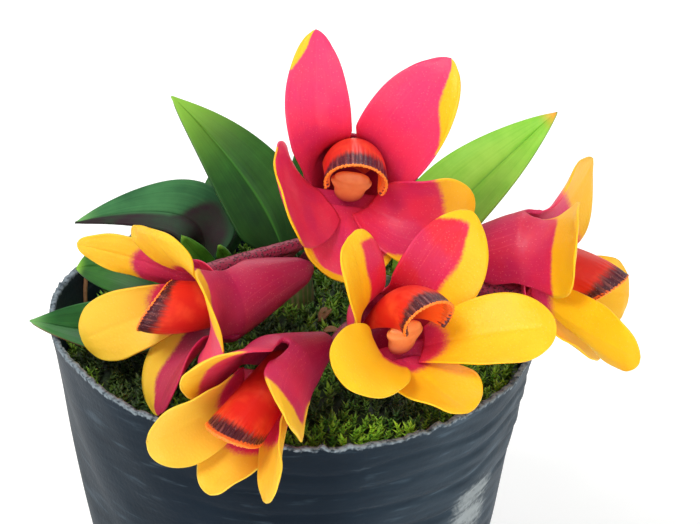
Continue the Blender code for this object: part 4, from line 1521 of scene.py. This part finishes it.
@dataclass(frozen=True)
class Leaf:
    """A lance leaf from a cane's top to its tip, bowed off the straight line, its upper side one way."""

    name: str
    cane: str
    foot_angle: float
    tip: tuple[float, float, float]
    bow: tuple[float, float, float]
    faces: tuple[float, float, float]
    half_width: float
    fold: float = 0.35
    widest: float = 0.42
    kind: LeafKind = LeafKind.DARK
    slot: str = "leaf_green"
    tip_reach: float = 0.18
    foot_half_width: float = 1.0
    fold_radius: float = 0.8
    midrib_depth: float = 0.3
    midrib_width: float = 0.07
    edge_wave: float = 0.16
    edge_waves: float = 11.0

    def build(self, skin: Skin) -> None:
        """Builds the leaf, folded along its midrib.

        Args:
            skin: Its material.
        """
        foot = foot_point(self.cane, self.foot_angle)
        tip = np.array(self.tip)
        middle = (foot + tip) / 2 + np.array(self.bow) * 2
        faces = np.array(self.faces)
        uppers = []

        def place(j: np.ndarray, t: np.ndarray) -> Points:
            """Lays out the blade along its bowed spine, and keeps which way its upper side looks.

            Args:
                j: Shares along, 0 to 1.
                t: Shares across, -1 to 1.

            Returns:
                The places in millimetres.
            """
            s = 0.6 * j + 0.4 * np.sin(math.pi / 2 * j)
            u = s[:, None]
            spine = (1 - u) ** 2 * foot + 2 * u * (1 - u) * middle + u**2 * tip
            way = unit(2 * (1 - u) * (middle - foot) + 2 * u * (tip - middle))
            upper = unit(faces - way * (way @ faces)[:, None])
            uppers.append(upper)
            swell = np.sin(math.pi / 2 * np.clip(s / self.widest, 0, 1)) ** 1.2
            x = np.clip((s - self.widest) / (1 - self.widest), 0, 1)
            width = np.where(s < self.widest,
                             self.foot_half_width + (self.half_width - self.foot_half_width) * swell,
                             self.half_width * (1 - x**2) ** 0.9)
            q = t * width
            rise = (np.sqrt(q**2 + self.fold_radius**2) - self.fold_radius) * self.fold
            crease = bell(t, self.midrib_width) * smooth_step(s, 0.03, 0.2) * smooth_fall(s, 0.85, 1.0)
            wave = t**2 * np.sin(self.edge_waves * s + self.tip[0]) * smooth_step(s, 0.1, 0.4)
            rise += self.edge_wave * wave - self.midrib_depth * crease
            return spine + np.cross(way, upper) * q[:, None] + upper * rise[:, None]

        piece, s, t = add_sheet(*LEAF_FACES, place)
        # Towards the foot the leaf takes painted shading, and along the midrib its line colour.
        store_values(piece, tip=smooth_step(s, 1 - self.tip_reach, 1.0) ** 1.3,
                     foot=0.75 * smooth_fall(s, 0.05, 0.6), midrib=0.7 * bell(t, 0.05))
        thicken(piece, flesh_at(s, t, 0.6, 0.85), thinnest=0.45)
        mark_side(piece, "underside", -uppers[0])
        # The purple-backed leaf takes painted shade on its near half and its foot.
        if self.kind is LeafKind.PURPLE_BACK:
            self.paint_shade_on_near_half(piece)
        finish_piece(piece, f"{self.name}_skin", skin, self.slot, self.name)

    def paint_shade_on_near_half(self, piece: Piece) -> None:
        """Paints shade over the near half of the upper side, and over most of its foot, in the underside's
        purple.

        Args:
            piece: The leaf.
        """
        edge = 0.75 - 0.95 * smooth_step(read_values(piece, "along"), 0.25, 0.5)
        near = smooth_fall(read_values(piece, "across") - edge, -0.15, 0.15)
        store_values(piece, underside=np.maximum(read_values(piece, "underside"), near))


LEAVES = (
    Leaf("leaf_1", "cane_1", 150.0, (-19.6, 19.2, 90.2), (3.7, -1.3, -1.0), (0.29, -0.66, 0.66), 6.8,
         widest=0.34, tip_reach=0.5),
    Leaf("leaf_2", "cane_2", 30.0, (39.7, 13.8, 91.4), (-2.1, 0.5, -1.6), (-0.69, -0.68, 0.56), 7.1,
         widest=0.40, kind=LeafKind.BRIGHT, slot="young_leaf", tip_reach=0.12),
    Leaf("leaf_3", "cane_3", 170.0, (-34.5, 14.0, 70.5), (6.2, -0.1, 5.1), (-0.15, -0.23, 0.89), 6.5,
         widest=0.37, kind=LeafKind.PURPLE_BACK),
    Leaf("leaf_4", "cane_4", 190.0, (-38.9, -10.4, 66.3), (1.2, 0.1, -1.6), (0.04, -0.45, 0.9), 5.2,
         kind=LeafKind.BROWN_BACK),
    Leaf("leaf_5", "cane_4", 110.0, (-33.4, 3.7, 67.8), (0.0, 0.0, 3.3), (0.38, -0.52, 0.78), 5.8,
         widest=0.46),
    Leaf("leaf_6", "cane_1", 55.0, (1.4, 21.0, 87.0), (2.4, 2.6, 0.0), (0.0, -0.9, 0.3), 5.0),
    Leaf("leaf_7", "cane_2", -90.0, (37.9, -3.3, 68.2), (-4.6, -1.6, -1.4), (0.03, -0.14, 0.94), 4.1),
    Leaf("leaf_8", "cane_2", 120.0, (17.0, 34.5, 71.0), (-0.8, 0.6, 2.8), (0.0, 0.2, 0.95), 5.5),
    Leaf("leaf_9", "cane_3", 70.0, (-7.0, 35.0, 71.0), (0.0, 0.0, 4.0), (0.0, 0.2, 0.95), 5.5),
    Leaf("new_leaf_1", "cane_3", 265.0, (-17.2, 4.6, 73.5), (-0.5, 0.0, 0.0), (0.2, -0.9, 0.3), 1.6,
         kind=LeafKind.SPROUT, slot="young_leaf"),
    Leaf("new_leaf_2", "cane_3", 330.0, (-11.5, 4.5, 72.0), (0.3, 0.0, 0.0), (-0.2, -0.9, 0.3), 1.4,
         kind=LeafKind.SPROUT, slot="young_leaf"),
)


# Pot and moss

@dataclass
class Pot:
    """The soft nursery pot, its rim slanting and torn, its wall creased and dented. Angles are from +X."""

    height: float = 62.0
    rim_radius: float = 37.5
    base_radius: float = 27.2
    wall: float = 0.8
    foot_chamfer: float = 0.8
    rim_slant: float = 1.6
    rim_wave: float = 0.5
    tear_depth: float = 0.22
    tear_band: float = 1.6
    torn_band: float = 1.3
    tears: int = 420
    drain_ring: float = 17.0
    drain_radius: float = 2.9
    drain_holes: int = 6
    drill_depth: float = 5.0
    crease_depth: float = 0.13
    fold_depths: tuple[float, ...] = (5.2, 9.0, 13.2, 18.0)
    fold_width: float = 0.55
    fold_press: float = 0.4
    fold_angle: float = -0.8
    dent_depth: float = 0.30
    ripple_depth: float = 0.04
    seam_height: float = 0.25
    seam_angle: float = math.radians(-73.5)
    seam_width: float = 0.012
    slack: float = 0.35
    film_angle: float = -0.6
    film_width: float = 0.24
    film_heights: tuple[float, float, float, float] = (22.0, 36.0, 43.0, 51.0)
    steps: int = 300
    rings: int = 150

    def inner_radius(self, z: float) -> float:
        """Gives the inner radius at a height."""
        return self.base_radius + (self.rim_radius - self.base_radius) / self.height * z - self.wall

    def rim_offset(self, angle: np.ndarray) -> np.ndarray:
        """Gives how far the rim stands above or below its mean height."""
        waves = sum(np.sin(n * angle + n) / n for n in (3, 7))
        return -self.rim_slant * np.cos(angle) + 3 * self.rim_wave * waves

    def profile(self) -> list[tuple[float, float]]:
        """Gives the turned outline: up the inside, over the rim and down the outside.

        Returns:
            Each corner's distance from the axis and its height.
        """
        heights = np.linspace(self.wall, self.height, self.rings + 1)
        inside = [(self.inner_radius(z), z) for z in heights]
        outside = [(x + self.wall, z) for x, z in inside[::-1] if z > 1.2 * self.foot_chamfer]
        return [(0.0, self.wall), *inside, *outside, (self.base_radius - self.foot_chamfer, 0.0), (0.0, 0.0)]

    def build(self, plastic: Skin) -> None:
        """Builds the pot.

        Args:
            plastic: Its material.
        """
        outline = self.profile()
        data = bpy.data.meshes.new("pot_outline")
        data.from_pydata([(x * MM, 0, z * MM) for x, z in outline],
                         [(i, i + 1) for i in range(len(outline) - 1)], [])
        piece = link_new("pot_outline", data)
        apply_modifier(piece, "SCREW", steps=self.steps, render_steps=self.steps, use_merge_vertices=True,
                       merge_threshold=1e-5)
        self.cut_drain_holes(piece)
        self.shape(piece)
        finish_piece(piece, "pot_wall", plastic, "soft_black_plastic", "pot")

    def cut_drain_holes(self, piece: Piece) -> None:
        """Cuts a ring of drain holes through the base.

        Args:
            piece: The pot.
        """
        cutters = []
        for n in range(self.drain_holes):
            angle = 2 * math.pi * (n + 0.5) / self.drain_holes
            cutters.append(add_primitive(
                bpy.ops.mesh.primitive_cylinder_add, vertices=40, radius=self.drain_radius * MM,
                depth=self.drill_depth * MM,
                location=(self.drain_ring * math.cos(angle) * MM, self.drain_ring * math.sin(angle) * MM,
                          0.5 * MM)))
        cutter = join(cutters)
        apply_modifier(piece, "BOOLEAN", object=cutter, operation="DIFFERENCE")
        bpy.data.objects.remove(cutter)

    def shape(self, piece: Piece) -> None:
        """Slants and tears the rim, creases the wall, and stores where it is torn and filmed with lime, and
        where its sides are lighter, partly wear and partly painted light.

        Args:
            piece: The pot.
        """
        points = vertex_places(piece)
        angle, radius = np.arctan2(points[:, 1], points[:, 0]), np.hypot(points[:, 0], points[:, 1])
        share = points[:, 2] / self.height
        knots = np.random.default_rng(11).normal(0.0, 1.0, self.tears)
        tears = np.interp(np.mod(angle, 2 * math.pi), np.linspace(0, 2 * math.pi, self.tears), knots)
        near_rim = smooth_step(points[:, 2], self.height - self.tear_band, self.height)
        points[:, 2] += share**3 * self.rim_offset(angle) + near_rim * self.tear_depth * tears
        z = points[:, 2]
        right = np.cos(angle)
        patches = smooth_step(right, 0.0, 0.8) * smooth_step(drift(points, 26.0, 4.0), 0.0, 0.7)
        crease = self.crease_depth * np.sin(z * 1.7 + 2.5 * drift(points, 30.0, 1.0)) * patches
        below_rim = self.height * (1 - share) + 1.2 * drift(points, 40.0, 2.0)
        folds = sum(bell(below_rim - depth, self.fold_width) for depth in self.fold_depths)
        crease -= self.fold_press * folds * smooth_step(np.cos(angle - self.fold_angle), 0.2, 0.8)
        dent = self.dent_depth * drift(points, 34.0, 0.6) + self.ripple_depth * drift(points, 12.0, 2.0)
        seam = self.seam_height * bell(angle - self.seam_angle, self.seam_width)
        on_wall = smooth_step(radius - self.base_radius, -2.5, -1.0) * smooth_step(z, 1.5, 8.0)
        push = (crease + dent + seam - self.slack) * on_wall
        points[:, :2] *= (1 + push / np.maximum(radius, 1.0))[:, None]
        move_vertices(piece, points)
        low, full, fading, top = self.film_heights
        film = bell(angle - self.film_angle, self.film_width) * smooth_step(z, low, full)
        # The sides to the right and left get lighter: partly wear, partly painted light.
        store_values(piece, rim=smooth_step(share * self.height - self.height, -self.torn_band, -0.2),
                     worn=smooth_step(right, 0.1, 0.9) + 0.4 * smooth_fall(right, -0.95, -0.35),
                     lime=film * smooth_fall(z, fading, top) * (radius > self.base_radius - 1.0))


@dataclass
class MossBed:
    """The carpet of moss: a mound with cushions, covered with small leafy shoots."""

    edge_height: float = 55.8
    mound: float = 4.2
    bump: float = 0.9
    wavelength: float = 10.0
    floor_height: float = 52.85
    radius: float = 34.77
    grid: int = 120
    tuft: tuple[float, float] = (1.7, 0.3)
    shoots: int = 2000
    shoot_height: float = 2.6
    shoot_scales: tuple[float, float] = (0.6, 1.15)
    shoot_inset: float = 0.7
    shoot_foot: float = 0.6
    overhang: float = 0.2
    cane_gap: float = 0.5
    tones: tuple[float, float] = (0.5, 0.28)
    shoot_jitter: float = 0.3
    shoot_lean: float = 0.22
    shoot_leaves: int = 9
    leaf_turn: float = 2.4

    def height_at(self, x: np.ndarray, y: np.ndarray) -> np.ndarray:
        """Gives the height of the carpet's upper surface.

        Args:
            x: Places across.
            y: Places from front to back.

        Returns:
            The heights.
        """
        share = (x * x + y * y) / (self.radius + 1.0) ** 2
        k = 2 * math.pi / self.wavelength
        cushions = (np.sin(k * x + 0.4) * np.cos(k * 0.93 * y)
                    + np.sin(k * 0.71 * (x + y)) * np.cos(k * 0.62 * (x - y) + 1.1)) / 2
        return self.edge_height + self.mound * (1 - share) + self.bump * cushions

    def add_carpet(self, green: Skin) -> None:
        """Adds the dense mat under the shoots.

        Args:
            green: Its material.
        """
        def place(along: np.ndarray, across: np.ndarray) -> Points:
            """Lays the square grid out as a round mat.

            Args:
                along: Shares along, 0 to 1.
                across: Shares across, -1 to 1.

            Returns:
                The places in millimetres.
            """
            a, b = across, along * 2 - 1
            reach = np.maximum(np.abs(a), np.abs(b)) * self.radius
            flat = math.pi / 4 * b / np.where(a == 0, 1, a) + (a < 0) * math.pi
            steep = math.pi / 2 - math.pi / 4 * a / np.where(b == 0, 1, b) + (b < 0) * math.pi
            turn = np.where(np.abs(a) > np.abs(b), flat, steep)
            x, y = reach * np.cos(turn), reach * np.sin(turn)
            spot = np.stack([x, y, self.height_at(x, y) - 0.5], axis=1)
            spot[:, 2] += 0.35 * drift(spot, *self.tuft) + 0.2 * drift(spot, 0.8, 1.9)
            return spot

        piece, s, _ = add_sheet(self.grid, self.grid, place)
        edit_whole(piece, bpy.ops.mesh.region_to_loop, bpy.ops.mesh.extrude_edges_move,
                   bpy.ops.mesh.edge_face_add)
        points = vertex_places(piece)
        points[len(s):, 2] = self.floor_height
        move_vertices(piece, points)
        face_outward(piece)
        # The mat under the shoots sits low, so it takes the dark colour: partly older growth, partly painted
        # shade between the shoots.
        store_values(piece, height=0.25 + 0.2 * drift(vertex_places(piece), *self.tuft), tone=0.3)
        finish_piece(piece, "moss_mat", green, "moss", "moss_carpet")

    def shoot_shape(self) -> tuple[Points, np.ndarray]:
        """Models one shoot, a stem with pointed leaves in spirals.

        Returns:
            Its points, in shares of its height, and its triangles.
        """
        points: list[Points] = []
        faces: list[tuple[int, int, int]] = []

        def spike(base: Points, tip: Points, across: Points, up: Points) -> None:
            """Adds one thin three-sided spike.

            Args:
                base: The middle of its foot.
                tip: Its point.
                across: From the middle to one corner of the foot.
                up: From the middle to the foot's top corner.
            """
            a, b, c, d = range(len(points), len(points) + 4)
            points.extend([base + across, base - across, base + up, tip])
            faces.extend([(a, b, c), (a, d, b), (b, d, c), (c, d, a)])

        spike(-0.3 * UP, UP, np.array([0.07, 0, 0]), np.array([0, 0.12, 0]))
        for n in range(self.shoot_leaves):
            turn = n * self.leaf_turn
            out = np.array([math.cos(turn), math.sin(turn), 0.0])
            base = (0.12 + 0.09 * n) * UP
            spread = 0.52 * (1 - 0.55 * n / (self.shoot_leaves - 1))
            spike(base, base + out * spread + (0.22 + 0.02 * n) * UP, 0.15 * np.cross(UP, out), 0.08 * UP)
        return np.array(points), np.array(faces)

    def add_shoots(self, green: Skin) -> None:
        """Adds the shoots, spread evenly with a golden-angle spiral and a seeded jitter.

        Args:
            green: Their material.
        """
        rng = np.random.default_rng(5)
        shape, faces = self.shoot_shape()
        order = np.arange(self.shoots) + 0.5
        radius = np.sqrt(order / self.shoots) * (self.radius - self.shoot_inset)
        turn = order * math.pi * (3 - math.sqrt(5))
        x = radius * np.cos(turn) + rng.normal(0, self.shoot_jitter, self.shoots)
        y = radius * np.sin(turn) + rng.normal(0, self.shoot_jitter, self.shoots)
        scale = self.shoot_height * rng.uniform(*self.shoot_scales, self.shoots)
        spin = rng.uniform(0, 2 * math.pi, self.shoots)
        lean = rng.normal(0, self.shoot_lean, (self.shoots, 2))
        clear = np.hypot(x, y) < self.radius - 0.3
        for cane in CANES:
            clear &= np.hypot(x - cane.place[0], y - cane.place[1]) > cane.radius + self.cane_gap
        x, y, scale, spin, lean = (values[clear, None] for values in (x, y, scale, spin, lean))
        wide, deep, tall = shape.T
        high = tall * scale
        places = np.stack([x + (wide * np.cos(spin) - deep * np.sin(spin)) * scale + lean[..., 0] * high,
                           y + (wide * np.sin(spin) + deep * np.cos(spin)) * scale + lean[..., 1] * high,
                           self.height_at(x, y) - self.shoot_foot + high], axis=2).reshape(-1, 3)
        reach = np.hypot(places[:, 0], places[:, 1])
        places[:, :2] *= np.minimum(1.0, (self.radius + self.overhang) / np.maximum(reach, 1.0))[:, None]
        triangles = (faces + (np.arange(len(x)) * len(shape))[:, None, None]).reshape(-1, 3)
        data = bpy.data.meshes.new("moss_shoots")
        data.from_pydata((places * MM).tolist(), [], triangles.tolist())
        piece = link_new("moss_shoots", data)
        face_outward(piece)
        tones = np.clip(rng.normal(*self.tones, len(x)), 0, 1)
        store_values(piece, height=np.tile(np.clip(tall + 0.15, 0, 1), len(x)),
                     tone=np.repeat(tones, len(shape)))
        finish_piece(piece, "moss_shoots", green, "moss")


@dataclass
class Litter:
    """What has dropped into the pot: a dry stem leaning on the wall, and curled brown bits of dead leaf."""

    stem: tuple[tuple[float, float, float], ...] = (
        (-33.0, 11.6, 56.5), (-33.3, 12.4, 59.5), (-32.9, 13.4, 62.5), (-32.4, 14.2, 65.0))
    stem_radius: float = 0.35
    bits: tuple[tuple[float, float, float], ...] = (
        (4.9, 2.6, 3.0), (6.2, -2.4, 2.8), (-10.5, -21.0, 2.4), (22.0, -19.0, 2.4), (-25.0, -19.5, 2.0))
    bit_rise: float = 1.3
    bit_half_width: float = 0.28
    bit_thickness: float = 0.3

    def add_stem(self, dry: Skin) -> None:
        """Adds the dry stem."""
        piece = add_tube(np.array(self.stem), np.full(len(self.stem), self.stem_radius), "NURBS", STEM_BEVEL)
        finish_piece(piece, "dry_stem", dry, "bark_and_sphagnum")

    def add_bit(self, number: int, bed: MossBed, dry: Skin) -> None:
        """Adds one curled bit of dead leaf, lying on the moss.

        Args:
            number: Which of the bits, from 0.
            bed: The moss that it lies on.
            dry: Its material.
        """
        x, y, length = self.bits[number]
        turn = 1.1 + 2.3 * number
        way = np.array([math.cos(turn), math.sin(turn), 0.25])
        side = np.array([-math.sin(turn), math.cos(turn), 0.0])
        ground = np.array([x, y, bed.height_at(x, y) + self.bit_rise])

        def place(j: np.ndarray, t: np.ndarray) -> Points:
            """Lays out the bit, arched along its length and curled across.

            Args:
                j: Shares along, 0 to 1.
                t: Shares across, -1 to 1.

            Returns:
                The places in millimetres.
            """
            width = self.bit_half_width * length * np.sqrt(np.clip(1 - (2 * j - 1) ** 2, 0.02, 1))
            lift = 0.5 * np.sin(math.pi * j) + 0.35 * self.bit_half_width * length * t**2
            return ground + np.outer((j - 0.5) * length, way) + np.outer(t * width, side) + np.outer(lift, UP)

        piece, s, _ = add_sheet(*BIT_FACES, place)
        thicken(piece, np.ones_like(s), self.bit_thickness)
        finish_piece(piece, f"dead_leaf_bit_{number + 1}", dry, "bark_and_sphagnum")


# Studio

@dataclass(frozen=True)
class Lamp:
    """A soft square light: its place and side in metres, its power in watts, and its sRGB hex colour."""

    name: str
    place: tuple[float, float, float]
    side: float
    power: float
    colour: str

    def add(self, aim: tuple[float, float, float]) -> None:
        """Adds the light.

        Args:
            aim: What it looks at, in metres.
        """
        data = bpy.data.lights.new(self.name, "AREA")
        data.size = self.side
        data.energy = self.power
        data.color = linear(self.colour)[:3]
        lamp = link_new(self.name, data)
        lamp.location = self.place
        x, y, z = unit(np.array(aim) - self.place)
        lamp.rotation_euler = math.acos(-z), 0.0, math.atan2(-x, y)


LAMPS = (
    Lamp("key", (-0.30, -0.45, 0.75), 0.30, 4.5, "FFFDF8"),
    Lamp("fill", (0.20, -0.68, 0.28), 0.50, 1.7, "F8FAFF"),
    Lamp("back", (0.10, 0.60, 0.55), 0.45, 1.6, "FFFFFF"),
)


@dataclass
class Studio:
    """The pale floor, the soft lights and the camera."""

    elevation: float = 27.5
    roll: float = 1.3
    distance: float = 400.0
    focal_pixels: float = 2640.0
    image_width: float = 700.0
    sensor_mm: float = 36.0
    target: tuple[float, float, float] = (8.6, 0.0, 72.0)
    floor_side: float = 6.0
    floor_gap: float = 0.2
    lamp_aim: tuple[float, float, float] = (0.0, 0.0, 0.07)
    sky_strength: float = 0.60
    clip: tuple[float, float] = (0.01, 20.0)

    def add_floor(self) -> None:
        """Adds the floor, just under the pot."""
        floor = add_primitive(bpy.ops.mesh.primitive_plane_add, size=self.floor_side,
                              location=(0, 0, -self.floor_gap * MM))
        floor.name = "floor"
        floor.data.materials.append(StudioPaper().material())

    def add_camera(self) -> None:
        """Adds the camera at the photograph's viewing angle."""
        tilt, roll = math.radians(self.elevation), math.radians(self.roll)
        forward = np.array([0.0, math.cos(tilt), -math.sin(tilt)])
        level_up = np.array([0.0, math.sin(tilt), math.cos(tilt)])
        right = math.cos(roll) * np.array([1.0, 0.0, 0.0]) + math.sin(roll) * level_up
        eye = np.array(self.target) - self.distance * forward
        data = bpy.data.cameras.new("camera")
        data.sensor_fit = "HORIZONTAL"
        data.sensor_width = self.sensor_mm
        data.lens = self.focal_pixels / self.image_width * self.sensor_mm
        data.clip_start, data.clip_end = self.clip
        camera = link_new("camera", data)
        rows = np.eye(4)
        rows[:3] = np.stack([right, np.cross(right, forward), -forward, eye * MM], axis=1)
        camera.matrix_world = Matrix(rows.tolist())
        bpy.context.scene.camera = camera

    def add_sky(self) -> None:
        """Adds a plain white surround."""
        world = bpy.data.worlds.new("white_surround")
        world.use_nodes = True
        connect(world.node_tree.nodes["Background"], {"Color": "FFFFFF", "Strength": self.sky_strength})
        bpy.context.scene.world = world
        bpy.context.scene.view_settings.view_transform = "Standard"

    def build(self) -> None:
        """Builds the studio."""
        self.add_floor()
        self.add_sky()
        for lamp in LAMPS:
            lamp.add(self.lamp_aim)
        self.add_camera()


def main() -> None:
    """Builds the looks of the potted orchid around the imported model."""
    logging.basicConfig(level=logging.INFO, format="%(message)s")
    for leftover in list(bpy.data.objects):
        bpy.data.objects.remove(leftover)
    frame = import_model()
    bpy.ops.object.select_all(action="DESELECT")
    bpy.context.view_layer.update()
    Studio().build()

    Pot().build(PotPlastic().material())
    medium = frame["nodes"]["growing_medium"]
    medium.data.materials.clear()
    medium.data.materials.append(BarkMix().material())
    bed, green = MossBed(), MossGreen().material()
    bed.add_carpet(green)
    bed.add_shoots(green)
    litter, dry = Litter(), DeadLeaf().material()
    litter.add_stem(dry)
    for number in range(len(litter.bits)):
        litter.add_bit(number, bed, dry)
    cane_skin = CaneSkin().material()
    for cane in CANES:
        cane.build(cane_skin)
    skins = {kind: kind.value.material() for kind in LeafKind}
    for leaf in LEAVES:
        leaf.build(skins[leaf.kind])
    tepal, lip_wax = TepalSkin().material(), LipSkin().material()
    column_wax, stalk = ColumnWax().material(), StalkSkin().material()
    for flower in FLOWERS:
        Bloom(flower, tepal, lip_wax, column_wax, stalk).build()


if __name__ == "__main__":
    main()
